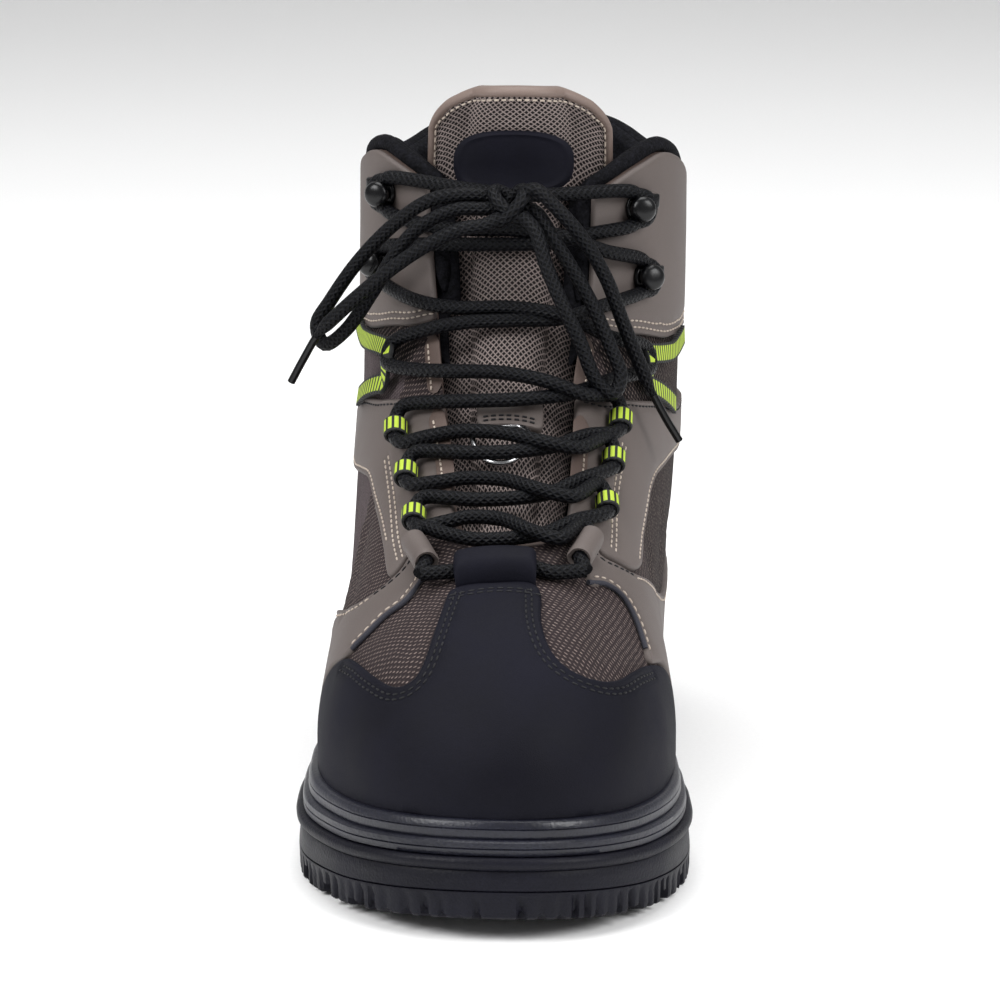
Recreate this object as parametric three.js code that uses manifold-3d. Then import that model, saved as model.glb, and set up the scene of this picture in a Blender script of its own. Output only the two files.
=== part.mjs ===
// A right-foot lace-up wading boot, in millimetres.
// +Z is up, the toe points along -Y, +X is the inner (medial) side.
// The origin is on the ground under the middle of the heel.
import * as THREE from 'three';
import { mergeVertices } from 'three/addons/utils/BufferGeometryUtils.js';
import Module from 'manifold-3d';

const wasm = await Module();
wasm.setup();

// Driving sizes
const SOLE_LENGTH = 318;
const SOLE_WIDTH = 122;
const HEEL_REACH = 46;
const SHAFT_HEIGHT = 206;
const CLEARANCE = 0.3;
const OVERLAP = 20;

// Sole stack
const LUG_DEPTH = 5.5;
const OUTSOLE_PLATE = 3;
const LUG_PITCH = 17;
const LUG_GROOVE = 4.5;
const TOE_NOTCH = { reach: 6, width: 4, turn: 14, count: 11 };
const BEAD = { proud: 0.9, height: 4 };
const RAND = { height: 11, step: 5.2, lowerInset: 1.2, upperInset: 3.2, rounding: 1.2 };
const INSOLE_THICKNESS = 4.5;

// Upper and what lies on and in it
const UPPER_WALL = 3;
const OVERLAY = 1.5;
const COLLAR_PAD = { thickness: 4.2, rise: 4, depth: 44, inThroat: 5.5 };
const TONGUE_THICKNESS = 5;
const TONGUE_BINDING = { width: 8, thickness: 6.5 };
const BADGE = { width: 40, height: 20.5, thickness: 1.6, shift: 1.5 };
const RING_PATCH = { width: 21.5, length: 11.5, thickness: 3.8 };
const D_RING = { halfWidth: 7.8, drop: 17.5, wire: 2, offset: 1.5 };

// Lace and what guides it
const LACE_DIAMETER = 4.6;
const KEEPER = { wall: 1.4 };
const KEEPER_MIDDLE = 2.83;
const KEEPER_HALF = 0.25;
const HORN = { length: 16, wall: 1.2, lean: 18 };
const LOOP = { length: 6.5, wall: 1.1 };
const KNOT = { at: [0.5, -98, 190.5], width: 14, depth: 11, height: 13 };
const WEBBING = { width: 6.5, thickness: 1.3 };
const HOOK = { base: 5, baseHeight: 1.4, neck: 2.2, neckHeight: 4.6, head: 4.3, headHeight: 8.4 };

// Plan of the sole: a row for each station from the heel's back edge to the toe tip.
// along is a share of the sole's length, the others are shares of its width.
const SOLE_PLAN = [
  { along: 0.0, axis: 0.0, medial: 0.37, lateral: 0.37 },
  { along: 0.15, axis: 0.0, medial: 0.372, lateral: 0.375 },
  { along: 0.27, axis: 0.0, medial: 0.37, lateral: 0.394 },
  { along: 0.38, axis: 0.0, medial: 0.37, lateral: 0.416 },
  { along: 0.49, axis: 0.004, medial: 0.392, lateral: 0.443 },
  { along: 0.6, axis: 0.012, medial: 0.437, lateral: 0.476 },
  { along: 0.7, axis: 0.026, medial: 0.488, lateral: 0.497 },
  { along: 0.79, axis: 0.042, medial: 0.502, lateral: 0.489 },
  { along: 0.88, axis: 0.052, medial: 0.497, lateral: 0.46 },
  { along: 1.0, axis: 0.058, medial: 0.485, lateral: 0.43 },
];
const HEEL_ROUND = { reach: 0.15, power: 2.3 };
const TOE_ROUND = { reach: 0.26, power: 2.2 };

// Heights of the sole stack at stations along the sole, as shares of the shaft's height.
const SOLE_STACK = [
  { along: 0.0, ground: 0.014, top: 0.148 },
  { along: 0.05, ground: 0.0, top: 0.146 },
  { along: 0.12, ground: 0.0, top: 0.143 },
  { along: 0.25, ground: 0.0, top: 0.138 },
  { along: 0.3, ground: 0.0, top: 0.135 },
  { along: 0.37, ground: 0.015, top: 0.128 },
  { along: 0.45, ground: 0.015, top: 0.117 },
  { along: 0.53, ground: 0.0, top: 0.106 },
  { along: 0.66, ground: 0.0, top: 0.098 },
  { along: 0.8, ground: 0.0, top: 0.099 },
  { along: 0.9, ground: 0.012, top: 0.108 },
  { along: 0.96, ground: 0.026, top: 0.12 },
  { along: 1.0, ground: 0.038, top: 0.13 },
];

// The form that the upper is made on is a fan of sections, from the toe tip to the collar. Each lies in a
// plane through a back point, on the sole or the heel's back, and a front point, on the vamp's or the
// shaft's ridge. along is a share of the sole's length from the heel's back edge, and up is a share of the
// shaft's height.
const FORM_PROFILE = [
  { frontAlong: 0.979, frontUp: 0.34, backAlong: 0.979, backUp: 0.07 },
  { frontAlong: 0.9, frontUp: 0.39, backAlong: 0.9, backUp: 0.07 },
  { frontAlong: 0.82, frontUp: 0.425, backAlong: 0.82, backUp: 0.07 },
  { frontAlong: 0.742, frontUp: 0.462, backAlong: 0.742, backUp: 0.07 },
  { frontAlong: 0.664, frontUp: 0.512, backAlong: 0.664, backUp: 0.07 },
  { frontAlong: 0.6, frontUp: 0.565, backAlong: 0.59, backUp: 0.07 },
  { frontAlong: 0.55, frontUp: 0.615, backAlong: 0.5, backUp: 0.07 },
  { frontAlong: 0.507, frontUp: 0.67, backAlong: 0.4, backUp: 0.075 },
  { frontAlong: 0.472, frontUp: 0.722, backAlong: 0.3, backUp: 0.082 },
  { frontAlong: 0.444, frontUp: 0.768, backAlong: 0.19, backUp: 0.095 },
  { frontAlong: 0.424, frontUp: 0.806, backAlong: 0.095, backUp: 0.115 },
  { frontAlong: 0.41, frontUp: 0.838, backAlong: 0.037, backUp: 0.18 },
  { frontAlong: 0.399, frontUp: 0.868, backAlong: 0.023, backUp: 0.3 },
  { frontAlong: 0.391, frontUp: 0.898, backAlong: 0.03, backUp: 0.44 },
  { frontAlong: 0.384, frontUp: 0.932, backAlong: 0.043, backUp: 0.59 },
  { frontAlong: 0.38, frontUp: 0.972, backAlong: 0.049, backUp: 0.74 },
  { frontAlong: 0.381, frontUp: 1.03, backAlong: 0.047, backUp: 0.88 },
  { frontAlong: 0.388, frontUp: 1.14, backAlong: 0.038, backUp: 1.06 },
];
// How wide the same sections are, as shares of the sole's width. widest is where along the chord, from
// back to front, the section is widest, and backPower and frontPower say how square its two ends are.
const FORM_SPREAD = [
  { axis: 0.056, medial: 0.43, lateral: 0.38, widest: 0.4, backPower: 5, frontPower: 2.4 },
  { axis: 0.053, medial: 0.442, lateral: 0.4, widest: 0.36, backPower: 5, frontPower: 2.3 },
  { axis: 0.046, medial: 0.448, lateral: 0.425, widest: 0.33, backPower: 5, frontPower: 2.15 },
  { axis: 0.034, medial: 0.448, lateral: 0.436, widest: 0.32, backPower: 5, frontPower: 2.05 },
  { axis: 0.021, medial: 0.432, lateral: 0.436, widest: 0.32, backPower: 5, frontPower: 2.05 },
  { axis: 0.011, medial: 0.412, lateral: 0.428, widest: 0.33, backPower: 3.6, frontPower: 2.05 },
  { axis: 0.004, medial: 0.402, lateral: 0.422, widest: 0.34, backPower: 2.8, frontPower: 2.1 },
  { axis: 0, medial: 0.402, lateral: 0.424, widest: 0.37, backPower: 2.4, frontPower: 2.15 },
  { axis: 0, medial: 0.41, lateral: 0.43, widest: 0.4, backPower: 2.25, frontPower: 2.15 },
  { axis: 0, medial: 0.418, lateral: 0.435, widest: 0.43, backPower: 2.2, frontPower: 2.2 },
  { axis: 0, medial: 0.424, lateral: 0.436, widest: 0.46, backPower: 2.2, frontPower: 2.2 },
  { axis: 0, medial: 0.43, lateral: 0.434, widest: 0.48, backPower: 2.2, frontPower: 2.2 },
  { axis: 0.003, medial: 0.434, lateral: 0.432, widest: 0.5, backPower: 2.2, frontPower: 2.2 },
  { axis: 0.006, medial: 0.437, lateral: 0.43, widest: 0.5, backPower: 2.2, frontPower: 2.2 },
  { axis: 0.01, medial: 0.44, lateral: 0.428, widest: 0.5, backPower: 2.2, frontPower: 2.2 },
  { axis: 0.012, medial: 0.441, lateral: 0.426, widest: 0.5, backPower: 2.2, frontPower: 2.2 },
  { axis: 0.014, medial: 0.441, lateral: 0.425, widest: 0.5, backPower: 2.2, frontPower: 2.2 },
  { axis: 0.014, medial: 0.44, lateral: 0.425, widest: 0.5, backPower: 2.2, frontPower: 2.2 },
];
const FORM_TOE = {
  reach: 0.27, widthPower: 2.2, ridgeReach: 0.17, ridgePower: 2.3, bottomPower: 5, nose: 0.21,
};
const FORM_RINGS = { toe: 4, body: 12, quarter: 4 };

// The collar's edge seen from the side, from the throat to the back: along is a share of the sole's length
// from the heel's back edge, up a share of the shaft's height.
const TOPLINE = [
  { along: 0.38, up: 0.9 },
  { along: 0.36, up: 0.93 },
  { along: 0.335, up: 0.958 },
  { along: 0.305, up: 0.972 },
  { along: 0.27, up: 0.958 },
  { along: 0.21, up: 0.918 },
  { along: 0.16, up: 0.905 },
  { along: 0.11, up: 0.915 },
  { along: 0.06, up: 0.95 },
  { along: 0.02, up: 0.97 },
];

// The throat seen from the front: up is a share of the shaft's height, medial and lateral of the sole's
// width.
const THROAT = [
  { up: 0.475, medial: 0.02, lateral: 0.01 },
  { up: 0.478, medial: 0.12, lateral: 0.07 },
  { up: 0.5, medial: 0.175, lateral: 0.108 },
  { up: 0.56, medial: 0.178, lateral: 0.13 },
  { up: 0.65, medial: 0.178, lateral: 0.17 },
  { up: 0.8, medial: 0.205, lateral: 0.206 },
  { up: 0.93, medial: 0.208, lateral: 0.225 },
  { up: 1.2, medial: 0.222, lateral: 0.23 },
];

// The tongue: a row for each level from its root under the toe cap to its top. half is its half width and
// crown how far its middle lies under the form's surface, both as shares of the sole's width, and flap the
// same at its edges.
const TONGUE = [
  { section: 3.9, half: 0.17, crown: 0.06, flap: 0.07 },
  { section: 4.8, half: 0.2, crown: 0.033, flap: 0.062 },
  { section: 6, half: 0.225, crown: 0.022, flap: 0.068 },
  { section: 8, half: 0.25, crown: 0.018, flap: 0.072 },
  { section: 10, half: 0.275, crown: 0.015, flap: 0.074 },
  { section: 13, half: 0.295, crown: 0.013, flap: 0.074 },
  { section: 15, half: 0.305, crown: 0.008, flap: 0.074 },
  { section: 15.9, half: 0.3, crown: 0, flap: 0.07 },
  { section: 16.25, half: 0.275, crown: -0.006, flap: 0.05 },
  { section: 16.5, half: 0.22, crown: -0.012, flap: 0.035 },
  { section: 16.62, half: 0.14, crown: -0.016, flap: 0.015 },
];

// Panels on the upper, as outlines on the form: section counts its rows and around is the angle in degrees
// from the ridge, positive on the medial side. An edge that two panels share is listed once, and the
// second panel keeps off it.
const CAP_REAR_MEDIAL = [
  { section: 4.3, around: 140 },
  { section: 3.95, around: 105 },
  { section: 3.55, around: 82 },
  { section: 3.06, around: 67 },
  { section: 2.53, around: 59.5 },
];
const CAP_REAR_LATERAL = [
  { section: 2.5, around: -58 },
  { section: 3.0, around: -70 },
  { section: 3.4, around: -88 },
  { section: 3.8, around: -108 },
  { section: 4.2, around: -140 },
];
const CAP_FRONT = [
  { section: 1.98, around: 54 },
  { section: 1.56, around: 50 },
  { section: 1.3, around: 44 },
  { section: 1.15, around: 35 },
  { section: 1.12, around: 27 },
  { section: 1.2, around: 19.5 },
  { section: 1.4, around: 14.5 },
  { section: 1.75, around: 11.5 },
  { section: 2.45, around: 10.5 },
  { section: 2.52, around: -3.5 },
  { section: 2.45, around: -17.5 },
  { section: 2.14, around: -19.5 },
  { section: 1.7, around: -23 },
  { section: 1.33, around: -28 },
  { section: 1.12, around: -34 },
  { section: 1.1, around: -41 },
  { section: 1.25, around: -47 },
  { section: 1.6, around: -51 },
  { section: 2.1, around: -54.5 },
];
const FOXING_TOP_MEDIAL = [
  { section: 3.96, around: 29 },
  { section: 3.75, around: 34 },
  { section: 3.85, around: 40 },
  { section: 4.19, around: 50.5 },
  { section: 5.08, around: 65.5 },
  { section: 6.14, around: 80 },
  { section: 7.5, around: 94.5 },
  { section: 9, around: 107 },
  { section: 10.2, around: 117 },
  { section: 11, around: 130 },
  { section: 11.6, around: 150 },
  { section: 11.9, around: 178 },
];
const FOXING_TOP_LATERAL = [
  { section: 3.9, around: -27 },
  { section: 3.45, around: -33 },
  { section: 3.34, around: -38.5 },
  { section: 3.37, around: -45.5 },
  { section: 3.6, around: -54 },
  { section: 4.3, around: -66 },
  { section: 5.3, around: -77 },
  { section: 6.6, around: -89 },
  { section: 8, around: -99.5 },
  { section: 9.3, around: -110 },
  { section: 10.4, around: -121 },
  { section: 11.2, around: -138 },
  { section: 11.9, around: -178 },
];
const FOXING_FRONT_MEDIAL = [
  { section: 2.8, around: 56.5 },
  { section: 2.96, around: 53.5 },
  { section: 3.15, around: 49.5 },
  { section: 3.3, around: 44 },
  { section: 3.25, around: 36 },
  { section: 3.03, around: 28.5 },
];
const FOXING_FRONT_LATERAL = [
  { section: 2.6, around: -55.5 },
  { section: 2.56, around: -48 },
  { section: 2.62, around: -40 },
  { section: 2.68, around: -32 },
  { section: 3.0, around: -26 },
];
const QUARTER_MEDIAL = [
  { section: 6.8, around: 5 },
  { section: 6.85, around: 20 },
  { section: 7.3, around: 35 },
  { section: 7.95, around: 45 },
  { section: 8.66, around: 55.5 },
  { section: 9.6, around: 67 },
  { section: 10.7, around: 80 },
  { section: 12, around: 97 },
  { section: 13, around: 122 },
  { section: 13.5, around: 150 },
  { section: 13.6, around: 178 },
  { section: 12.9, around: 178 },
  { section: 12.8, around: 150 },
  { section: 12.3, around: 121 },
  { section: 11.2, around: 97 },
  { section: 9.9, around: 85 },
  { section: 8.67, around: 75 },
  { section: 7.7, around: 67.5 },
  { section: 6.62, around: 63.5 },
  { section: 5.8, around: 61 },
  { section: 4.9, around: 58 },
];
const QUARTER_LATERAL = [
  { section: 6.75, around: -5 },
  { section: 6.8, around: -21 },
  { section: 7.16, around: -32 },
  { section: 8.22, around: -50 },
  { section: 9.1, around: -61 },
  { section: 10, around: -71.5 },
  { section: 11.5, around: -89 },
  { section: 12.9, around: -118 },
  { section: 13.4, around: -148 },
  { section: 13.6, around: -178 },
  { section: 12.9, around: -178 },
  { section: 12.7, around: -148 },
  { section: 11.8, around: -112 },
  { section: 10, around: -88 },
  { section: 8.4, around: -74 },
  { section: 7.45, around: -64 },
  { section: 6.72, around: -56.5 },
  { section: 5.94, around: -52 },
  { section: 5.08, around: -47 },
  { section: 4.25, around: -42.5 },
];
const COLLAR_MEDIAL = [
  { section: 16.6, around: 178.5 },
  { section: 15.9, around: 178.5 },
  { section: 15.2, around: 178.5 },
  { section: 14.6, around: 178 },
  { section: 14, around: 124 },
  { section: 13, around: 91.5 },
  { section: 12.1, around: 77 },
  { section: 11.5, around: 68 },
  { section: 10.35, around: 51.5 },
  { section: 9.4, around: 39 },
  { section: 8.85, around: 28 },
  { section: 8.7, around: 5 },
  { section: 16.6, around: 5 },
];
const COLLAR_LATERAL = [
  { section: 16.6, around: -5 },
  { section: 8.9, around: -5 },
  { section: 8.95, around: -25 },
  { section: 9.4, around: -36 },
  { section: 10.2, around: -47 },
  { section: 11, around: -58 },
  { section: 11.7, around: -68 },
  { section: 12.6, around: -83 },
  { section: 13.3, around: -98 },
  { section: 14.1, around: -128 },
  { section: 14.6, around: -178 },
  { section: 15.2, around: -178.5 },
  { section: 15.9, around: -178.5 },
  { section: 16.6, around: -178.5 },
];

// Where the lace is guided, from the toe up, on the medial and the lateral side. arch is how far the
// lengths that cross down from a station rise above a straight line.
const STATIONS = [
  { kind: 'horn', medialSection: 3.4, medial: 25, lateralSection: 3.28, lateral: -25, arch: 0 },
  { kind: 'loop', medialSection: 4.68, medial: 34.5, lateralSection: 4.08, lateral: -27.5, arch: 0.3 },
  { kind: 'loop', medialSection: 5.93, medial: 37.5, lateralSection: 5.2, lateral: -31.5, arch: 1 },
  { kind: 'loop', medialSection: 6.95, medial: 39.5, lateralSection: 6.5, lateral: -36, arch: 2 },
  { kind: 'webbing', medialSection: 9.1, medial: 50.5, lateralSection: 8.5, lateral: -41, arch: 4.5 },
  { kind: 'hook', medialSection: 11.96, medial: 48, lateralSection: 12.6, lateral: -52.5, arch: 6 },
  { kind: 'hook', medialSection: 14.07, medial: 43.5, lateralSection: 14.6, lateral: -50.5, arch: 3 },
];

// Straight webbing straps that hold the lace's fourth turn: from the turn back to the panel they are sewn
// to.
const STRAPS = [
  { name: 'webbing_upper_medial', nearSection: 9.45, near: 49, farSection: 12.2, far: 79 },
  { name: 'webbing_lower_medial', nearSection: 8.85, near: 53, farSection: 10.1, far: 73 },
  { name: 'webbing_upper_lateral', nearSection: 8.95, near: -42, farSection: 12.1, far: -73 },
  { name: 'webbing_lower_lateral', nearSection: 8.25, near: -45, farSection: 9.45, far: -65 },
];

// The lace where it is free: points of its middle line, in millimetres.
const LACE_LOOP_LATERAL = [
  [-2.5, -95, 192.5], [-7, -94.8, 194.5], [-15, -95.5, 196], [-26, -93.5, 193.5], [-38.5, -88, 182.5],
  [-50, -85, 169], [-59, -84, 156],
  [-63.5, -84, 148], [-61, -86, 142], [-54, -90, 147], [-45, -93, 160], [-37.5, -96, 173], [-29, -97.5, 183],
  [-17, -98, 189], [-8, -98, 189.3], [-3, -98, 190],
];
const LACE_END_LATERAL = [
  [-3, -101.5, 187], [-7.5, -104.3, 185.2], [-15, -105.5, 184], [-26, -104.5, 178.5], [-36, -102.5, 171.5],
  [-46, -99, 163],
  [-55, -96, 154.5], [-62, -93, 147], [-67, -91, 138.5], [-71.5, -89.5, 130],
];
const LACE_LOOP_MEDIAL = [
  [4, -96.5, 190], [9, -98, 188], [14, -102, 181], [20, -104, 172], [27, -106, 160], [33, -110, 147],
  [36.5, -113, 138],
  [34, -116, 133], [28.5, -117, 138], [23.5, -116, 150], [18, -114, 161], [12.5, -110, 173],
  [8.5, -105, 184], [4.5, -101.5, 187.5],
];
const LACE_END_MEDIAL = [
  [4, -97.5, 193.5], [8, -99, 196], [15, -101, 190.5], [23.5, -102, 181], [31, -100.5, 168], [37, -99, 152],
  [42, -98, 139.5],
  [46, -97.5, 130], [50.5, -96, 121], [55, -94, 113],
];

// A value along a table's rows by monotone cubic interpolation, at keeps the rows' own spacing.
function rowValue(rows, at, place, column) {
  const last = rows.length - 1;
  let k = 0;
  while (k < last - 1 && place(k + 1) <= at) k += 1;
  const secant = (i) => (rows[i + 1][column] - rows[i][column]) / (place(i + 1) - place(i));
  const slope = (i) => {
    if (i === 0) return secant(0);
    if (i === last) return secant(last - 1);
    const [before, after] = [secant(i - 1), secant(i)];
    return before * after > 0 ? (2 * before * after) / (before + after) : 0;
  };
  const span = place(k + 1) - place(k);
  const t = Math.min(Math.max((at - place(k)) / span, 0), 1);
  const [t2, t3] = [t * t, t * t * t];
  return (2 * t3 - 3 * t2 + 1) * rows[k][column] + (t3 - 2 * t2 + t) * span * slope(k)
    + (3 * t2 - 2 * t3) * rows[k + 1][column] + (t3 - t2) * span * slope(k + 1);
}

// How far a round end has opened, from 0 at the tip to 1, at a distance from the tip given as a share of
// its reach.
function roundEnd(share, power) {
  return Math.pow(1 - Math.pow(1 - Math.min(Math.max(share, 0), 1), power), 1 / power);
}

const alongToY = (along) => HEEL_REACH - along * SOLE_LENGTH;
const yToAlong = (y) => Math.min(Math.max((HEEL_REACH - y) / SOLE_LENGTH, 0), 1);

// The sole's two edges at a station, grown outwards by a distance.
function soleEdges(along, grown = 0) {
  const value = (column) => rowValue(SOLE_PLAN, along, (i) => SOLE_PLAN[i].along, column) * SOLE_WIDTH;
  const open = roundEnd(along / HEEL_ROUND.reach, HEEL_ROUND.power)
    * roundEnd((1 - along) / TOE_ROUND.reach, TOE_ROUND.power);
  const axis = value('axis');
  return {
    y: alongToY(along) - grown * (2 * along - 1),
    axis,
    medial: axis + (value('medial') - axis) * open + grown * open,
    lateral: axis - (value('lateral') + axis) * open - grown * open,
  };
}

function stackHeight(along, column) {
  return rowValue(SOLE_STACK, along, (i) => SOLE_STACK[i].along, column) * SHAFT_HEIGHT;
}

const ground = (along) => stackHeight(along, 'ground');
const soleTop = (along) => stackHeight(along, 'top');
const seam = (along) => ground(along) + LUG_DEPTH + OUTSOLE_PLATE;

// A closed solid from rings of equal length. Each ring starts at its bottom point, goes up one side and
// down the other, so its ends are closed by a ladder of rungs between the sides.
function ringsGeometry(rings) {
  const count = rings[0].length;
  const half = count / 2;
  const positions = rings.flat().flatMap((p) => [p.x, p.y, p.z]);
  const index = [];
  for (let i = 0; i + 1 < rings.length; i += 1) {
    for (let j = 0; j < count; j += 1) {
      const a = i * count + j;
      const b = i * count + ((j + 1) % count);
      index.push(a, b + count, b, a, a + count, b + count);
    }
  }
  for (const [base, forward] of [[0, true], [(rings.length - 1) * count, false]]) {
    for (let j = 0; j < half; j += 1) {
      const [a, b] = [base + j, base + j + 1];
      const [c, d] = [base + ((count - j) % count), base + count - j - 1];
      const faces = [];
      if (a !== c) faces.push([a, b, c]);
      if (b !== d) faces.push([b, d, c]);
      for (const f of faces) index.push(...(forward ? f : [f[0], f[2], f[1]]));
    }
  }
  const geometry = new THREE.BufferGeometry();
  geometry.setAttribute('position', new THREE.BufferAttribute(new Float32Array(positions), 3));
  geometry.setIndex(index);
  return geometry;
}

function toSolid(geometry) {
  const bare = geometry.clone();
  bare.deleteAttribute('normal');
  bare.deleteAttribute('uv');
  const merged = mergeVertices(bare, 1e-4);
  const solid = new wasm.Manifold(new wasm.Mesh({
    numProp: 3,
    vertProperties: new Float32Array(merged.attributes.position.array),
    triVerts: new Uint32Array(merged.index.array),
  }));
  if (solid.volume() < 0) throw new Error('a shape is inside out');
  return solid;
}

function toGeometry(solid) {
  const mesh = solid.getMesh();
  const geometry = new THREE.BufferGeometry();
  geometry.setAttribute('position', new THREE.BufferAttribute(new Float32Array(mesh.vertProperties), 3));
  geometry.setIndex(new THREE.BufferAttribute(new Uint32Array(mesh.triVerts), 1));
  geometry.computeVertexNormals();
  return geometry;
}

// A point of the form's base surface. section counts the rows of the tables, and around is the angle in
// degrees from the front point, positive on the medial side, with the back point at 180.
function basePoint(section, around) {
  const value = (rows, column) => rowValue(rows, section, (i) => i, column);
  const profile = (column) => value(FORM_PROFILE, column);
  const spread = (column) => value(FORM_SPREAD, column);
  const turn = THREE.MathUtils.degToRad(90 - Math.abs(around));
  const frontY = alongToY(profile('frontAlong'));
  const backY = alongToY(profile('backAlong'));
  const fromTip = (frontY - alongToY(FORM_PROFILE[0].frontAlong)) / SOLE_LENGTH;
  const wide = roundEnd(fromTip / FORM_TOE.reach, FORM_TOE.widthPower);
  const ridge = roundEnd(fromTip / FORM_TOE.ridgeReach, FORM_TOE.ridgePower);
  const bottom = roundEnd(fromTip / FORM_TOE.ridgeReach, FORM_TOE.bottomPower);
  const nose = FORM_TOE.nose;
  const frontZ = (nose + (profile('frontUp') - nose) * ridge) * SHAFT_HEIGHT;
  const backZ = (nose + (profile('backUp') - nose) * bottom) * SHAFT_HEIGHT;
  const axis = spread('axis') * SOLE_WIDTH;
  const reach = around > 0 ? spread('medial') * SOLE_WIDTH - axis : spread('lateral') * SOLE_WIDTH + axis;
  const widest = spread('widest');
  const power = turn > 0 ? spread('frontPower') : spread('backPower');
  const across = Math.pow(Math.max(Math.cos(turn), 0), 2 / power) * reach * wide;
  const rise = Math.pow(Math.abs(Math.sin(turn)), 2 / power);
  const chord = turn > 0 ? widest + (1 - widest) * rise : widest - widest * rise;
  return new THREE.Vector3(
    axis + Math.sign(around) * across,
    backY + (frontY - backY) * chord,
    backZ + (frontZ - backZ) * chord,
  );
}

// The outward normal of the base surface, from four points close by.
function baseNormal(section, around) {
  const [ds, da] = [0.02, 1.5];
  const last = FORM_PROFILE.length - 1;
  const low = basePoint(Math.max(section - ds, 0.002), around);
  const high = basePoint(Math.min(section + ds, last), around);
  const wrap = (angle) => (angle > 180 ? angle - 360 : angle <= -180 ? angle + 360 : angle);
  const left = basePoint(section, wrap(around - da));
  const right = basePoint(section, wrap(around + da));
  return right.sub(left).cross(high.sub(low)).normalize();
}

// A point at a depth outside (or, negative, inside) the base surface.
function formPoint(section, around, depth) {
  return basePoint(section, around).addScaledVector(baseNormal(section, around), depth);
}

const formSections = [];
for (let i = 0; i < FORM_RINGS.toe; i += 1) {
  formSections.push(3 * (1 - Math.cos(((i + 0.35) / FORM_RINGS.toe) * Math.PI / 2)));
}
for (let i = 0; i <= FORM_RINGS.body; i += 1) {
  formSections.push(3 + (FORM_PROFILE.length - 4) * (i / FORM_RINGS.body));
}

// The form as a solid, grown by a depth.
function form(depth) {
  const steps = FORM_RINGS.quarter * 4;
  return toSolid(ringsGeometry(formSections.map((section) => {
    const ring = [];
    for (let k = 0; k < steps; k += 1) {
      const around = 180 - (360 * k) / steps;
      ring.push(formPoint(section, around, depth));
    }
    return ring;
  })));
}

// Axes of a drawing that is extruded: what its x, y and depth run along.
const SIDE_VIEW = new THREE.Matrix4().makeBasis(
  new THREE.Vector3(0, 1, 0), new THREE.Vector3(0, 0, 1), new THREE.Vector3(1, 0, 0));
const FRONT_VIEW = new THREE.Matrix4().makeBasis(
  new THREE.Vector3(1, 0, 0), new THREE.Vector3(0, 0, 1), new THREE.Vector3(0, -1, 0));
const TOP_VIEW = new THREE.Matrix4();

// A prism of a drawn outline, from one depth to another.
function prism(outline, view, from, to) {
  const shape = new THREE.Shape(outline);
  const geometry = new THREE.ExtrudeGeometry(shape, { depth: to - from, bevelEnabled: false });
  geometry.translate(0, 0, from);
  geometry.applyMatrix4(view);
  return toSolid(geometry);
}

// Stations along the sole as shares of its length, closer together at its ends.
const SOLE_STATIONS = Array.from({ length: 21 }, (_, k) => (1 - Math.cos((Math.PI * k) / 20)) / 2);

// Everything under a height that follows the sole, out to well past its edges.
function under(height) {
  const outline = SOLE_STATIONS.map((along) => new THREE.Vector2(alongToY(along), height(along)));
  outline.unshift(new THREE.Vector2(HEEL_REACH + OVERLAP, height(0)));
  outline.push(new THREE.Vector2(alongToY(1) - OVERLAP, height(1)));
  const low = -OVERLAP;
  outline.push(new THREE.Vector2(alongToY(1) - OVERLAP, low), new THREE.Vector2(alongToY(0) + OVERLAP, low));
  return prism(outline, SIDE_VIEW, -SOLE_WIDTH, SOLE_WIDTH);
}

// Everything above the collar's edge, raised by a distance.
function aboveCollar(raised) {
  const outline = [];
  const steps = 14;
  const rows = [...TOPLINE].reverse();
  for (let k = 0; k <= steps; k += 1) {
    const along = rows[0].along + (rows[rows.length - 1].along - rows[0].along) * (k / steps);
    const up = rowValue(rows, along, (i) => rows[i].along, 'up');
    outline.push(new THREE.Vector2(alongToY(along), up * SHAFT_HEIGHT + raised));
  }
  const [back, front] = [outline[0], outline[steps]];
  outline.unshift(new THREE.Vector2(HEEL_REACH + OVERLAP, back.y));
  outline.push(new THREE.Vector2(front.x - 2 * OVERLAP, front.y));
  outline.push(new THREE.Vector2(front.x - 2 * OVERLAP, 2 * SHAFT_HEIGHT));
  outline.push(new THREE.Vector2(HEEL_REACH + OVERLAP, 2 * SHAFT_HEIGHT));
  return prism(outline, SIDE_VIEW, -SOLE_WIDTH, SOLE_WIDTH);
}

// The throat's opening, widened by a distance, from well before the toe to the middle of the shaft.
function throat(widened) {
  const steps = 12;
  const [low, high] = [THROAT[0].up, THROAT[THROAT.length - 1].up];
  const side = (column) => {
    const points = [];
    for (let k = 0; k <= steps; k += 1) {
      const up = low + (high - low) * (k / steps) ** 1.5;
      const half = rowValue(THROAT, up, (i) => THROAT[i].up, column) * SOLE_WIDTH;
      const across = Math.max(half + widened, CLEARANCE);
      points.push(new THREE.Vector2(column === 'medial' ? across : -across, up * SHAFT_HEIGHT));
    }
    return points;
  };
  return prism([...side('medial'), ...side('lateral').reverse()], FRONT_VIEW, HEEL_REACH / 2, SOLE_LENGTH);
}

// A level band round the sole's edge: rows of {height, grown}, from the lowest up, closed by rungs.
function soleBand(rows) {
  const last = SOLE_STATIONS.length - 1;
  return toSolid(ringsGeometry(rows.map(({ height, grown }) => {
    const medial = [];
    const lateral = [];
    SOLE_STATIONS.forEach((along, k) => {
      const e = soleEdges(Math.min(Math.max(along, 0.0005), 0.9995), grown);
      const z = height(yToAlong(e.y));
      if (k === 0 || k === last) {
        medial.push(new THREE.Vector3(e.axis, e.y, z));
      } else {
        medial.push(new THREE.Vector3(e.medial, e.y, z));
        lateral.unshift(new THREE.Vector3(e.lateral, e.y, z));
      }
    });
    return [...medial, ...lateral];
  })));
}

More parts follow.
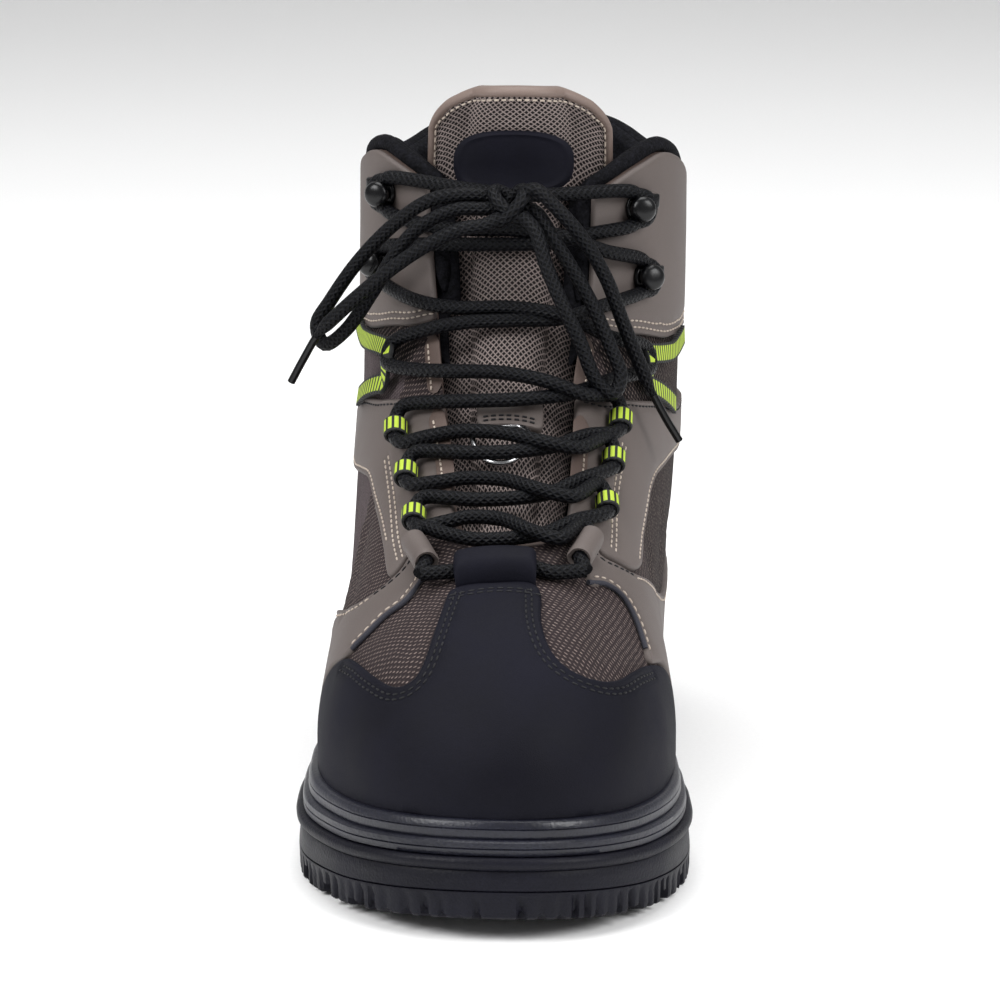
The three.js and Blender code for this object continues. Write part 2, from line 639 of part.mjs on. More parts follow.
const joined = (solids) => solids.reduce((whole, solid) => whole.add(solid));

// Outsole: a plate with lugs, parted by zigzag grooves across and along and by notches round the toe.
function outsole() {
  const half = LUG_GROOVE / 2;
  const cuts = [];
  const band = (points, acrossY) => {
    const shift = (p, by) => new THREE.Vector2(p[0] + (acrossY ? 0 : by), p[1] + (acrossY ? by : 0));
    const back = [...points].reverse().map((p) => shift(p, half));
    const outline = [...points.map((p) => shift(p, -half)), ...back];
    cuts.push(prism(outline, TOP_VIEW, -OVERLAP, SHAFT_HEIGHT));
  };
  const waist = [alongToY(0.34), alongToY(0.5)];
  for (let k = -17; k <= 2; k += 1) {
    const y = LUG_PITCH * (k + 0.5);
    if (y < waist[1] || y > waist[0]) {
      const across = [-0.6, -0.24, 0.24, 0.6].map((share) => share * SOLE_WIDTH);
      band(across.map((x, i) => [x, y + (i === 1 || i === 2 ? 0 : -LUG_PITCH / 3)]), true);
    }
  }
  for (const side of [-1, 1]) {
    for (const [from, to] of [[alongToY(0.97), waist[1]], [waist[0], alongToY(0.03)]]) {
      const points = [];
      const count = Math.round((to - from) / LUG_PITCH / 2);
      for (let k = 0; k <= count; k += 1) {
        const y = from + ((to - from) * k) / count;
        const e = soleEdges(yToAlong(y));
        const edge = side > 0 ? e.medial - e.axis : e.axis - e.lateral;
        points.push([e.axis + side * (edge * 0.46 + (k % 2 ? 2.5 : 0)), y]);
      }
      band(points, false);
    }
  }
  const centre = new THREE.Vector2(soleEdges(0.9).axis, alongToY(1 - TOE_ROUND.reach / 1.55));
  for (let k = 0; k < TOE_NOTCH.count; k += 1) {
    const angle = THREE.MathUtils.degToRad(TOE_NOTCH.turn * (k - (TOE_NOTCH.count - 1) / 2));
    const out = new THREE.Vector2(Math.sin(angle), -Math.cos(angle));
    const side = new THREE.Vector2(-out.y, out.x).multiplyScalar(TOE_NOTCH.width / 2);
    const near = centre.clone().addScaledVector(out, SOLE_WIDTH * 0.4 - TOE_NOTCH.reach);
    const far = centre.clone().addScaledVector(out, SOLE_WIDTH);
    const corners = [near.clone().sub(side), far.clone().sub(side)];
    corners.push(far.clone().add(side), near.clone().add(side));
    const outline = THREE.ShapeUtils.area(corners) < 0 ? corners.reverse() : corners;
    cuts.push(prism(outline, TOP_VIEW, -OVERLAP, SHAFT_HEIGHT));
  }
  const body = soleBand([{ height: ground, grown: -0.8 }, { height: (a) => ground(a) + 1, grown: 0 },
    { height: seam, grown: 0 }]);
  return body.subtract(joined(cuts).intersect(under((a) => ground(a) + LUG_DEPTH)));
}

// Midsole with a rounded bead under its top edge.
function midsole() {
  return soleBand([
    { height: (a) => seam(a) + CLEARANCE, grown: 0 },
    { height: (a) => soleTop(a) - BEAD.height, grown: -0.4 },
    { height: (a) => soleTop(a) - BEAD.height * 0.5, grown: BEAD.proud },
    { height: soleTop, grown: 0 },
  ]);
}

// Rand: a strip in two steps that closes the angle between the sole's edge and the upper.
function rand() {
  const level = (up, grown) => ({ height: (a) => soleTop(a) + CLEARANCE + up, grown: -grown });
  return soleBand([
    level(0, RAND.lowerInset), level(RAND.step - RAND.rounding, RAND.lowerInset),
    level(RAND.step, RAND.upperInset), level(RAND.height - RAND.rounding, RAND.upperInset),
    level(RAND.height, RAND.upperInset + RAND.rounding),
  ]).subtract(form(CLEARANCE));
}

const underSoleTop = under((a) => soleTop(a) + CLEARANCE);
const underRandTop = under((a) => soleTop(a) + CLEARANCE + RAND.height + CLEARANCE);
const formOuter = form(0);
const formInner = form(-UPPER_WALL);
const throatCut = throat(0);
const collarCut = aboveCollar(0);

// Upper: one wall on the form, open below, at the throat and at the collar.
function upper() {
  return formOuter.subtract(formInner).subtract(underSoleTop).subtract(throatCut).subtract(collarCut);
}

// The layer that panels are cut from: it lies on the upper, above the rand.
const skin = form(CLEARANCE + OVERLAY).subtract(form(CLEARANCE)).subtract(underRandTop)
  .subtract(throatCut).subtract(collarCut);

// Splits the edges of a triangulated patch until none is longer than a step, keeping neighbours joined.
function refine(points, triangles, step) {
  let faces = triangles;
  const isLong = (p, q) => (
    Math.hypot((p.around - q.around) / step.around, (p.section - q.section) / step.section) > 1);
  for (let split = true; split;) {
    split = false;
    const middles = new Map();
    const middle = (a, b) => {
      if (!isLong(points[a], points[b])) return null;
      const key = a < b ? `${a} ${b}` : `${b} ${a}`;
      if (!middles.has(key)) {
        const [p, q] = [points[a], points[b]];
        middles.set(key, points.length);
        points.push({ section: (p.section + q.section) / 2, around: (p.around + q.around) / 2,
          depth: (p.depth + q.depth) / 2 });
      }
      return middles.get(key);
    };
    const next = [];
    for (let [a, b, c] of faces) {
      let [ab, bc, ca] = [middle(a, b), middle(b, c), middle(c, a)];
      const count = [ab, bc, ca].filter((m) => m !== null).length;
      while ((count === 1 && ab === null) || (count === 2 && ca !== null)) {
        [a, b, c] = [b, c, a];
        [ab, bc, ca] = [bc, ca, ab];
      }
      if (count === 0) next.push([a, b, c]);
      else if (count === 1) next.push([a, ab, c], [ab, b, c]);
      else if (count === 2) next.push([ab, b, bc], [a, ab, bc], [a, bc, c]);
      else next.push([a, ab, ca], [ab, b, bc], [ca, bc, c], [ab, bc, ca]);
    }
    split = middles.size > 0;
    faces = next;
  }
  return faces;
}

// A solid that stands through the surface over an outlined patch of it, from inside the wall to well
// outside.
function block(outline) {
  const scale = 10;
  const knots = outline.map((p) => new THREE.Vector3(p.around / scale, p.section, 0));
  const curve = new THREE.CatmullRomCurve3(knots, true, 'centripetal');
  const steps = Math.round(outline.length * 1.5);
  let contour = curve.getPoints(steps).slice(0, -1).map((p) => new THREE.Vector2(p.x, p.y));
  if (THREE.ShapeUtils.isClockWise(contour)) contour = contour.reverse();
  const count = contour.length;
  const points = [-UPPER_WALL / 2, 2 * UPPER_WALL].flatMap((depth) => (
    contour.map((p) => ({ section: p.y, around: p.x * scale, depth }))));
  const faces = [];
  for (const [a, b, c] of THREE.ShapeUtils.triangulateShape(contour, [])) {
    faces.push([a + count, b + count, c + count], [a, c, b]);
  }
  for (let i = 0; i < count; i += 1) {
    const j = (i + 1) % count;
    faces.push([i, j, j + count], [i, j + count, i + count]);
  }
  const refined = refine(points, faces, { section: 1.8, around: 28 });
  const geometry = new THREE.BufferGeometry();
  const positions = points.flatMap((p) => formPoint(Math.max(p.section, 0.002), p.around, p.depth).toArray());
  geometry.setAttribute('position', new THREE.BufferAttribute(new Float32Array(positions), 3));
  geometry.setIndex(refined.flat());
  return toSolid(geometry);
}

const keptOff = (rows, by) => rows.map((row) => ({ ...row, section: row.section + by }));

// Toe cap: wraps the toe, rises in a finger along the ridge and in a wing on each side.
function toeCap() {
  const corners = [[0.95, -OVERLAP], [0.95, SHAFT_HEIGHT], [1.1, SHAFT_HEIGHT], [1.1, -OVERLAP]];
  const square = corners.map(([along, z]) => new THREE.Vector2(alongToY(along), z));
  const nose = prism(square, SIDE_VIEW, -SOLE_WIDTH, SOLE_WIDTH);
  const low = [{ section: 0.35, around: -140 }, { section: 0.35, around: 140 }];
  const outline = [...low, ...CAP_REAR_MEDIAL, ...CAP_FRONT, ...CAP_REAR_LATERAL];
  return skin.intersect(block(outline).add(nose));
}

const PANEL_GAP = 0.09;
// Foxing: the strap over the vamp that carries on low round the heel.
function foxing(top, front, rear) {
  const side = Math.sign(top[0].around);
  const low = [{ section: 10.6, around: side * 178 }, { section: 9, around: side * 150 },
    { section: 6.5, around: side * 142 }];
  const outline = [...top, ...low, ...keptOff(rear, PANEL_GAP), ...front];
  return skin.intersect(block(outline));
}

// Quarter: the panel beside the throat, whose arm runs on as a band round the heel.
function quarter(outline, sharedEdge) {
  const edge = keptOff([...sharedEdge].reverse(), PANEL_GAP);
  const front = edge[edge.length - 1];
  return skin.intersect(block([...outline, ...edge, { ...front, around: Math.sign(front.around) * 5 }]));
}

// Collar pad: a soft layer inside the shaft that stands out above the collar panels and into the throat.
function collarPad() {
  const from = -UPPER_WALL - CLEARANCE;
  return form(from).subtract(form(from - COLLAR_PAD.thickness)).intersect(aboveCollar(-COLLAR_PAD.depth))
    .subtract(aboveCollar(COLLAR_PAD.rise)).subtract(throat(-COLLAR_PAD.inThroat));
}

// Insole: lies on the midsole inside the upper's wall.
function insole() {
  const slab = under((a) => soleTop(a) + CLEARANCE + INSOLE_THICKNESS).subtract(underSoleTop);
  return form(-UPPER_WALL - CLEARANCE).intersect(slab);
}

// The angle at which a section's front part lies at a distance across from its axis.
function aroundFor(section, across) {
  const spread = (column) => rowValue(FORM_SPREAD, section, (i) => i, column);
  const reach = spread(across > 0 ? 'medial' : 'lateral') - Math.sign(across) * spread('axis');
  const share = Math.min(Math.abs(across) / (reach * SOLE_WIDTH), 0.97);
  return Math.sign(across) * THREE.MathUtils.radToDeg(Math.asin(share ** (spread('frontPower') / 2)));
}

// A point of the tongue's outer face, lifted off it. share runs from -1 at its lateral edge to 1 at its
// medial one, and follow says how much of the tongue's fall to its edges the point takes part in.
function tonguePoint(section, share, lift, follow = 1) {
  const value = (column) => rowValue(TONGUE, section, (i) => TONGUE[i].section, column) * SOLE_WIDTH;
  const fall = Math.min(Math.abs(share) * 1.95, 1) ** 3.5;
  const depth = value('crown') + (value('flap') - value('crown')) * fall * follow;
  return formPoint(section, aroundFor(section, value('half') * share), lift - depth);
}

// The half width of the tongue at a section, across its outer face.
function tongueHalf(section) {
  return rowValue(TONGUE, section, (i) => TONGUE[i].section, 'half') * SOLE_WIDTH;
}

// The section whose point on the ridge lies at a height.
function sectionAt(height) {
  let [low, high] = [0, FORM_PROFILE.length - 1];
  for (let k = 0; k < 30; k += 1) {
    const middle = (low + high) / 2;
    if (basePoint(middle, 0).z < height) low = middle;
    else high = middle;
  }
  return (low + high) / 2;
}

// A sheet that follows the tongue: rows of {section, from, to} in shares of its half width.
function tongueSheet(rows, lift, thickness, columns, follow = 1) {
  return toSolid(ringsGeometry(rows.map(({ section, from, to }) => {
    const shares = [];
    for (let j = 0; j <= columns; j += 1) shares.push(to + ((from - to) * j) / columns);
    return [
      ...shares.map((share) => tonguePoint(section, share, lift + thickness, follow)),
      ...shares.reverse().map((share) => tonguePoint(section, share, lift, follow)),
    ];
  })));
}

const tongueTop = TONGUE[TONGUE.length - 1].section;
// Tongue: a padded sheet that is crowned in the throat and lies under the edges on both sides of it.
function tongue() {
  const rows = [];
  const count = 16;
  const bindingFoot = sectionAt(basePoint(tongueTop, 0).z - TONGUE_BINDING.width);
  for (let k = 0; k <= count; k += 1) {
    const share = Math.sin((k / count) * (Math.PI / 2));
    const section = TONGUE[0].section + (bindingFoot - TONGUE[0].section) * share;
    rows.push({ section, from: -1, to: 1 });
  }
  return tongueSheet(rows, -TONGUE_THICKNESS, TONGUE_THICKNESS, 8);
}

// Binding: a thicker band round the tongue's upper end.
function tongueBinding() {
  const rows = [];
  const foot = basePoint(tongueTop, 0).z - TONGUE_BINDING.width + 2 * CLEARANCE;
  const rise = basePoint(tongueTop, 0).z - foot;
  for (let k = 0; k <= 6; k += 1) rows.push({ section: sectionAt(foot + rise * (k / 6)), from: -1, to: 1 });
  const past = (TONGUE_BINDING.thickness - TONGUE_THICKNESS) / 2;
  return tongueSheet(rows, -TONGUE_THICKNESS - past, TONGUE_BINDING.thickness, 8);
}

// An oval plate on the tongue, between two heights.
function badge() {
  const middle = SHAFT_HEIGHT * 0.975;
  const rows = [];
  for (let k = 0; k <= 8; k += 1) {
    const turn = -Math.PI / 2 + Math.PI * ((k + 0.35) / 8.7);
    const section = sectionAt(middle + (BADGE.height / 2) * Math.sin(turn));
    const half = ((BADGE.width / 2) * Math.cos(turn) ** 0.55) / tongueHalf(section);
    const shift = BADGE.shift / tongueHalf(section);
    rows.push({ section, from: -half - shift, to: half - shift });
  }
  return tongueSheet(rows, 3 * CLEARANCE, BADGE.thickness, 6, 0.25);
}

// Axes on the surface: x along the panel, y outwards and z up the section.
function seat(section, around, depth, lean = 0) {
  const y = baseNormal(section, around);
  const up = basePoint(section + 0.05, around).sub(basePoint(section - 0.05, around));
  const z = up.addScaledVector(y, -up.dot(y)).normalize().applyAxisAngle(y, THREE.MathUtils.degToRad(lean));
  const x = new THREE.Vector3().crossVectors(y, z);
  return new THREE.Matrix4().makeBasis(x, y, z).setPosition(formPoint(section, around, depth));
}

// What small pieces on the panels are cut by, so that they sit on them.
const overPanels = form(OVERLAY + 2 * CLEARANCE);

// A short guide that the lace passes through: round over the lace and flat where it sits on the panels.
function sleeve(section, around, size, lean) {
  const bore = LACE_DIAMETER / 2 + CLEARANCE;
  const radius = bore + size.wall;
  const shape = new THREE.Shape().absarc(0, 0, radius, 0, Math.PI);
  shape.lineTo(-radius, -2 * radius).lineTo(radius, -2 * radius);
  shape.holes.push(new THREE.Path().absarc(0, 0, bore, 0, 2 * Math.PI));
  const steps = { depth: size.length, bevelEnabled: false, curveSegments: 4 };
  const geometry = new THREE.ExtrudeGeometry(shape, steps);
  geometry.translate(0, 0, -size.length / 2);
  const depth = OVERLAY + 3 * CLEARANCE + radius;
  geometry.applyMatrix4(seat(section, around, depth, lean));
  return toSolid(geometry).subtract(overPanels);
}

// A hook that the lace is laid round: a foot, a neck and a domed head.
function hook(section, around) {
  const sunk = 3 * CLEARANCE;
  const profile = [
    [0, 0], [HOOK.base, 0], [HOOK.base, HOOK.baseHeight + sunk],
    [HOOK.neck, HOOK.baseHeight + sunk + 0.6], [HOOK.neck, HOOK.neckHeight + sunk],
    [HOOK.head, HOOK.neckHeight + sunk + 0.8], [HOOK.head * 0.75, HOOK.headHeight + sunk - 0.9],
    [0, HOOK.headHeight + sunk],
  ].map(([across, y]) => new THREE.Vector2(across, y));
  const geometry = new THREE.LatheGeometry(profile, 8);
  geometry.applyMatrix4(seat(section, around, OVERLAY + 2 * CLEARANCE - sunk));
  return toSolid(geometry).subtract(overPanels);
}

// A strap's solid: a flat strip from its turn at the throat to its far end, over the panels.
function webbing({ nearSection, near, farSection, far }) {
  const rows = 6;
  const middle = (t) => formPoint(nearSection + (farSection - nearSection) * t, near + (far - near) * t, 0);
  const [inner, outer] = [OVERLAY - 3 * CLEARANCE, OVERLAY + 3 * CLEARANCE + WEBBING.thickness];
  return toSolid(ringsGeometry(Array.from({ length: rows + 1 }, (_, k) => {
    const t = k / rows;
    const [section, around] = [nearSection + (farSection - nearSection) * t, near + (far - near) * t];
    const at = (depth) => formPoint(section, around, depth);
    const run = middle(Math.min(t + 0.05, 1)).sub(middle(Math.max(t - 0.05, 0))).normalize();
    const out = at(1).sub(at(0)).normalize();
    const side = run.cross(out).normalize().multiplyScalar(WEBBING.width / 2);
    return [at(inner).sub(side), at(inner).add(side), at(outer).add(side), at(outer).sub(side)];
  }))).subtract(overPanels);
}

// A round cord along points.
function cord(points, diameter = LACE_DIAMETER, sides = 6) {
  const curve = new THREE.CatmullRomCurve3(points.map((p) => (p.isVector3 ? p : new THREE.Vector3(...p))));
  const shape = new THREE.Shape();
  for (let k = 0; k < sides; k += 1) {
    const turn = (2 * Math.PI * k) / sides;
    const [x, y] = [(Math.cos(turn) * diameter) / 2, (Math.sin(turn) * diameter) / 2];
    if (k === 0) shape.moveTo(x, y);
    else shape.lineTo(x, y);
  }
  const steps = Math.max(4, Math.round(curve.getLength() / (2.2 * LACE_DIAMETER)));
  return toSolid(new THREE.ExtrudeGeometry(shape, { steps, extrudePath: curve, bevelEnabled: false }));
}

// How far the lace's middle line lies above the form where it crosses the tongue.
const LACE_SEAT = LACE_DIAMETER / 2 + CLEARANCE;

// Where the lace runs at a station: below or above the sleeve or hook there, on one side.
function lacePlace(index, side, above) {
  const station = STATIONS[index];
  const section = side > 0 ? station.medialSection : station.lateralSection;
  const around = side > 0 ? station.medial : station.lateral;
  const reach = { horn: 12.5, loop: 7.4, webbing: 4.5, hook: 5.8 }[station.kind] * (above ? 1 : -1);
  const inward = { horn: 0.5, loop: 3, webbing: 4, hook: 5.5 }[station.kind];
  const raised = station.kind === 'hook' ? -CLEARANCE : 4 * CLEARANCE;
  const depth = OVERLAY + 3 * CLEARANCE + LACE_DIAMETER / 2 + raised;
  const place = seat(section, around, depth);
  const toThroat = new THREE.Vector3(side * inward, 0, reach);
  return { section, around, place: toThroat.applyMatrix4(place) };
}

// The point at a depth off the form that lies at a given place across and height.
function facingPoint(across, height, depth) {
  let section = sectionAt(height);
  let offset = across - rowValue(FORM_SPREAD, section, (i) => i, 'axis') * SOLE_WIDTH;
  let point;
  for (let k = 0; k < 20; k += 1) {
    const around = aroundFor(section, offset);
    point = formPoint(section, around, depth);
    const rise = basePoint(section + 0.1, around).z - basePoint(section - 0.1, around).z;
    section += ((height - point.z) * 0.1) / Math.max(rise, 0.5);
    offset += (across - point.x) * 0.7;
  }
  return point;
}

// Two lengths of lace that cross over the tongue between a pair of stations and the next pair.
function crossing(index) {
  const overRing = { 2: 1.8, 3: 2.4 }[index] ?? 0;
  const half = (side, lift) => {
    const from = lacePlace(index + 1, side, false).place;
    const to = lacePlace(index, -side, true).place;
    const points = [from];
    for (const t of [0.2, 0.4, 0.6, 0.8]) {
      const seated = Math.abs(t - 0.5) > 0.2 ? LACE_SEAT + OVERLAY + 2 * CLEARANCE : LACE_SEAT + overRing;
      const depth = seated + lift * (1 - Math.abs(t - 0.5) * 3);
      const arch = STATIONS[index + 1].arch * 4 * t * (1 - t);
      points.push(facingPoint(from.x + (to.x - from.x) * t, from.z + (to.z - from.z) * t + arch, depth));
    }
    points.push(to);
    return cord(points);
  };
  return half(1, 0).add(half(-1, LACE_DIAMETER * 0.6));
}

// The two lengths that come from the top hooks and cross behind the knot.
function topRun() {
  const last = STATIONS.length - 1;
  const half = (side) => {
    const from = lacePlace(last, side, true);
    const [x, y, z] = KNOT.at;
    const end = new THREE.Vector3(x - side * 2.5, y + KNOT.depth / 2 + LACE_DIAMETER / 2, z + 1);
    const middle = from.place.clone().lerp(end, 0.5).add(new THREE.Vector3(0, -1.5, 3));
    return cord([from.place, middle, end]);
  };
  return half(1).add(half(-1));
}

// The lowest length of lace, straight across the toe side of the throat, and the keeper that holds it down.
function lowestPoints() {
  const [from, to] = [lacePlace(0, 1, false), lacePlace(0, -1, false)];
  const points = [from.place];
  for (const t of [0.2, 0.35, 0.5, 0.65, 0.8]) {
    const section = KEEPER_MIDDLE - 0.1 * Math.abs(t - 0.5);
    const around = from.around + (to.around - from.around) * t;
    points.push(formPoint(section, around, CLEARANCE * 2 + LACE_DIAMETER / 2));
  }
  points.push(to.place);
  return points;
}

// Keeper: the turned-over end of the toe cap's finger, which the lowest lace passes through.
function keeper() {
  const rows = [];
  const count = 6;
  for (let k = 0; k <= count; k += 1) {
    const share = -1 + (2 * k) / count;
    const section = KEEPER_MIDDLE + KEEPER_HALF * share;
    const round = Math.sqrt(Math.max(1 - (share * 0.9) ** 2, 0));
    const bulge = (LACE_DIAMETER + 2 * CLEARANCE + KEEPER.wall) * round;
    const ring = [];
    const raised = CLEARANCE + OVERLAY + bulge;
    for (let j = 0; j <= 6; j += 1) ring.push(formPoint(section, 9.5 - (25 * j) / 6, raised));
    for (let j = 6; j >= 0; j -= 1) ring.push(formPoint(section, 9.5 - (25 * j) / 6, -CLEARANCE));
    rows.push(ring);
  }
  return toSolid(ringsGeometry(rows)).subtract(form(CLEARANCE))
    .subtract(cord(lowestPoints(), LACE_DIAMETER + 2 * CLEARANCE));
}

// Ring patch: a folded patch on the tongue, which a D-shaped ring hangs from.
const ringSection = 6.15;
const ringCentre = new THREE.Matrix4().copy(seat(ringSection, 0, 0));
function ringPoints() {
  const { halfWidth, drop } = D_RING;
  const bar = [-0.8, 0, 0.8].map((share) => [share * halfWidth, 0]);
  const arc = [0, 35, 65, 90, 115, 145, 180].map((turn) => {
    const angle = THREE.MathUtils.degToRad(turn);
    return [Math.cos(angle) * halfWidth * 1.1, -drop * (0.35 + 0.65 * Math.sin(angle))];
  });
  const place = ([x, z]) => new THREE.Vector3(x + D_RING.offset, 0, z).applyMatrix4(ringCentre);
  return [...bar, ...arc].map(place);
}

function ring(wire) {
  const curve = new THREE.CatmullRomCurve3(ringPoints(), true);
  return toSolid(new THREE.TubeGeometry(curve, 16, wire / 2, 5, true));
}

function ringPatch() {
  const rows = [];
  const half = RING_PATCH.length / 2 / 17.5;
  for (let k = 0; k <= 4; k += 1) {
    const section = ringSection + half * (k / 2 - 0.7);
    const across = RING_PATCH.width / 2 / tongueHalf(section);
    const shift = D_RING.offset / tongueHalf(section);
    rows.push({ section, from: shift - across, to: shift + across });
  }
  return tongueSheet(rows, 3 * CLEARANCE, RING_PATCH.thickness, 4, 0.25)
    .subtract(ring(D_RING.wire + 2 * CLEARANCE));
}

// Knot of the bow: a round lump, grown by a distance.
function knot(grown) {
  const geometry = new THREE.SphereGeometry(1, 8, 6);
  geometry.scale(KNOT.width / 2 + grown, KNOT.depth / 2 + grown, KNOT.height / 2 + grown);
  geometry.translate(...KNOT.at);
  return toSolid(geometry);
}

// A free length of the lace, which starts or ends at the knot.
function freeLace(points) {
  return cord(points, LACE_DIAMETER, 8).subtract(knot(CLEARANCE));
}

const RUBBER = { color: 0x15161c, roughness: 0.65, metalness: 0 };
const LEATHER = { color: 0x6b635e, roughness: 0.7, metalness: 0 };
const MESH = { color: 0x5a5048, roughness: 0.9, metalness: 0 };
const LINING = { color: 0x1c1b1d, roughness: 0.95, metalness: 0 };
const WEAVE = { color: 0x9fbf2c, roughness: 0.8, metalness: 0 };
const LACE = { color: 0x101114, roughness: 0.8, metalness: 0 };
const STEEL = { color: 0xc8c8c8, roughness: 0.3, metalness: 1 };
const NYLON = { color: 0x0c0c0e, roughness: 0.3, metalness: 0 };

const boot = new THREE.Group();
function add(name, solid, finish, parent = boot) {
  const mesh = new THREE.Mesh(toGeometry(solid), new THREE.MeshStandardMaterial(finish));
  mesh.name = name;
  parent.add(mesh);
  return mesh;
}

add('outsole', outsole(), RUBBER);
add('midsole', midsole(), RUBBER);
add('rand', rand(), RUBBER);
add('insole', insole(), LINING);
add('upper', upper(), MESH);
add('tongue', tongue(), MESH);
add('tongue_binding', tongueBinding(), LEATHER);
add('badge', badge(), RUBBER);
add('toe_cap', toeCap(), RUBBER);
add('foxing_medial', foxing(FOXING_TOP_MEDIAL, FOXING_FRONT_MEDIAL, CAP_REAR_MEDIAL), LEATHER);
const capRearLateral = [...CAP_REAR_LATERAL].reverse();
add('foxing_lateral', foxing(FOXING_TOP_LATERAL, FOXING_FRONT_LATERAL, capRearLateral), LEATHER);
add('quarter_medial', quarter(QUARTER_MEDIAL, FOXING_TOP_MEDIAL.slice(0, 4)), LEATHER);
add('quarter_lateral', quarter(QUARTER_LATERAL, FOXING_TOP_LATERAL.slice(0, 3)), LEATHER);
add('collar_medial', skin.intersect(block(COLLAR_MEDIAL)), LEATHER);
add('collar_lateral', skin.intersect(block(COLLAR_LATERAL)), LEATHER);
add('collar_pad', collarPad(), LINING);
for (const strap of STRAPS) add(strap.name, webbing(strap), WEAVE);
add('ring_patch', ringPatch(), LEATHER);
add('d_ring', ring(D_RING.wire), STEEL);
add('keeper', keeper(), RUBBER);
STATIONS.forEach((station, k) => {
  for (const [side, word] of [[1, 'medial'], [-1, 'lateral']]) {
    const section = station[`${word}Section`];
    const around = station[word];
    const { kind } = station;
    if (kind === 'horn') add(`horn_${word}`, sleeve(section, around, HORN, -side * HORN.lean), LEATHER);
    if (kind === 'loop') add(`webbing_loop_${k}_${word}`, sleeve(section, around, LOOP, 0), WEAVE);
    if (kind === 'hook') add(`hook_${k - 4}_${word}`, hook(section, around), NYLON);
  }
});

add('lace_bar', cord(lowestPoints()), LACE);
for (let k = 0; k + 1 < STATIONS.length; k += 1) add(`lace_crossing_${k + 1}`, crossing(k), LACE);
add('lace_top', topRun(), LACE);
add('lace_knot', knot(0), LACE);
add('bow_loop_lateral', freeLace(LACE_LOOP_LATERAL), LACE);
add('bow_loop_medial', freeLace(LACE_LOOP_MEDIAL), LACE);
add('lace_end_lateral', freeLace(LACE_END_LATERAL), LACE);
add('lace_end_medial', freeLace(LACE_END_MEDIAL), LACE);

export default boot;
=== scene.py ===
"""A right-foot lace-up wading boot: its looks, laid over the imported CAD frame.

Lengths are in millimetres until a mesh is made, and in metres from there on. +Z is up, the toe points
along -Y and +X is the inner (medial) side. The boot's panels, pad and shell follow the curved form of the
last, where no edit operator reaches, so their points are set by the last's own function.
"""
from __future__ import annotations

import logging
import math
from dataclasses import dataclass
from enum import Enum
from typing import Callable, Sequence

import bpy
import numpy as np
from mathutils import Matrix, Vector
from mathutils.geometry import delaunay_2d_cdt

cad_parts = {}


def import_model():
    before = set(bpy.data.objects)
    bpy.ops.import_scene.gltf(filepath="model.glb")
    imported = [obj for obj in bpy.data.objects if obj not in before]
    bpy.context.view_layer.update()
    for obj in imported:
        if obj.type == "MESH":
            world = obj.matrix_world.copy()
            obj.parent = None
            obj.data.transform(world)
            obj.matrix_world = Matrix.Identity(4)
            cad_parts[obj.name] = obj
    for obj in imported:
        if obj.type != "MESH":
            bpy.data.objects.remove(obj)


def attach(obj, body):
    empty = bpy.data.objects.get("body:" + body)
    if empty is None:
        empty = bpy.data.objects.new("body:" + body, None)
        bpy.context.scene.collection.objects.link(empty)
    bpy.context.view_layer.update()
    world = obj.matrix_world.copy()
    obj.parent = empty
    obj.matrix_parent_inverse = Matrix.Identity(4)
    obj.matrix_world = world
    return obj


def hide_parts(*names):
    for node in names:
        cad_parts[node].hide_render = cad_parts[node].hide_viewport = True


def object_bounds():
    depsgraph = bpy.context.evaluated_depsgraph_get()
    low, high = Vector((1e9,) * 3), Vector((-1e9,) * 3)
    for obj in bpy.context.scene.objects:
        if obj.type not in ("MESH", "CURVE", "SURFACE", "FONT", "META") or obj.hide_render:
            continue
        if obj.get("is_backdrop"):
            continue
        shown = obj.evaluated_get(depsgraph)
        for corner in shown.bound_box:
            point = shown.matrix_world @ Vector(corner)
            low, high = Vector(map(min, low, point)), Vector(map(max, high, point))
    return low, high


log = logging.getLogger("wading_boot")

MM = 0.001
BODY = "root"
CLEARANCE = 0.3
OVERLAY = 1.5
WALL = 3.0
LACE = 4.6
# The throat's lower end, as a share of the shaft's height.
THROAT_FOOT = 0.475

Pairs = Sequence[tuple[float, float]]


class Table:
    """Rows of named columns that are read between the rows by a monotone cubic."""

    def __init__(self, columns: str, rows: Sequence[tuple[float, ...]], keyed: bool = True) -> None:
        """Keeps the rows.

        Args:
            columns: The columns' names, with spaces between them.
            rows: A tuple of numbers for each row.
            keyed: True where the first column is the place of the row, False where rows are counted.
        """
        self.names = columns.split()
        self.data = np.array(rows, float)
        self.places = self.data[:, 0] if keyed else np.arange(len(rows), dtype=float)

    def at(self, column: str, place: np.ndarray | float) -> np.ndarray:
        """Reads a column at places between the rows.

        Args:
            column: The column's name.
            place: Where to read it.

        Returns:
            The values, one for each place.
        """
        x, y = self.places, self.data[:, self.names.index(column)]
        secant = np.diff(y) / np.diff(x)
        slope = np.concatenate([secant[:1], np.zeros(len(x) - 2), secant[-1:]])
        before, after = secant[:-1], secant[1:]
        same = before * after > 0
        total = np.where(same, before + after, 1.0)
        slope[1:-1] = np.where(same, 2 * before * after / total, 0.0)
        place = np.asarray(place, float)
        k = np.clip(np.searchsorted(x, place, side="right") - 1, 0, len(x) - 2)
        span = x[k + 1] - x[k]
        t = np.clip((place - x[k]) / span, 0, 1)
        t2, t3 = t * t, t * t * t
        return ((2 * t3 - 3 * t2 + 1) * y[k] + (t3 - 2 * t2 + t) * span * slope[k]
                + (3 * t2 - 2 * t3) * y[k + 1] + (t3 - t2) * span * slope[k + 1])


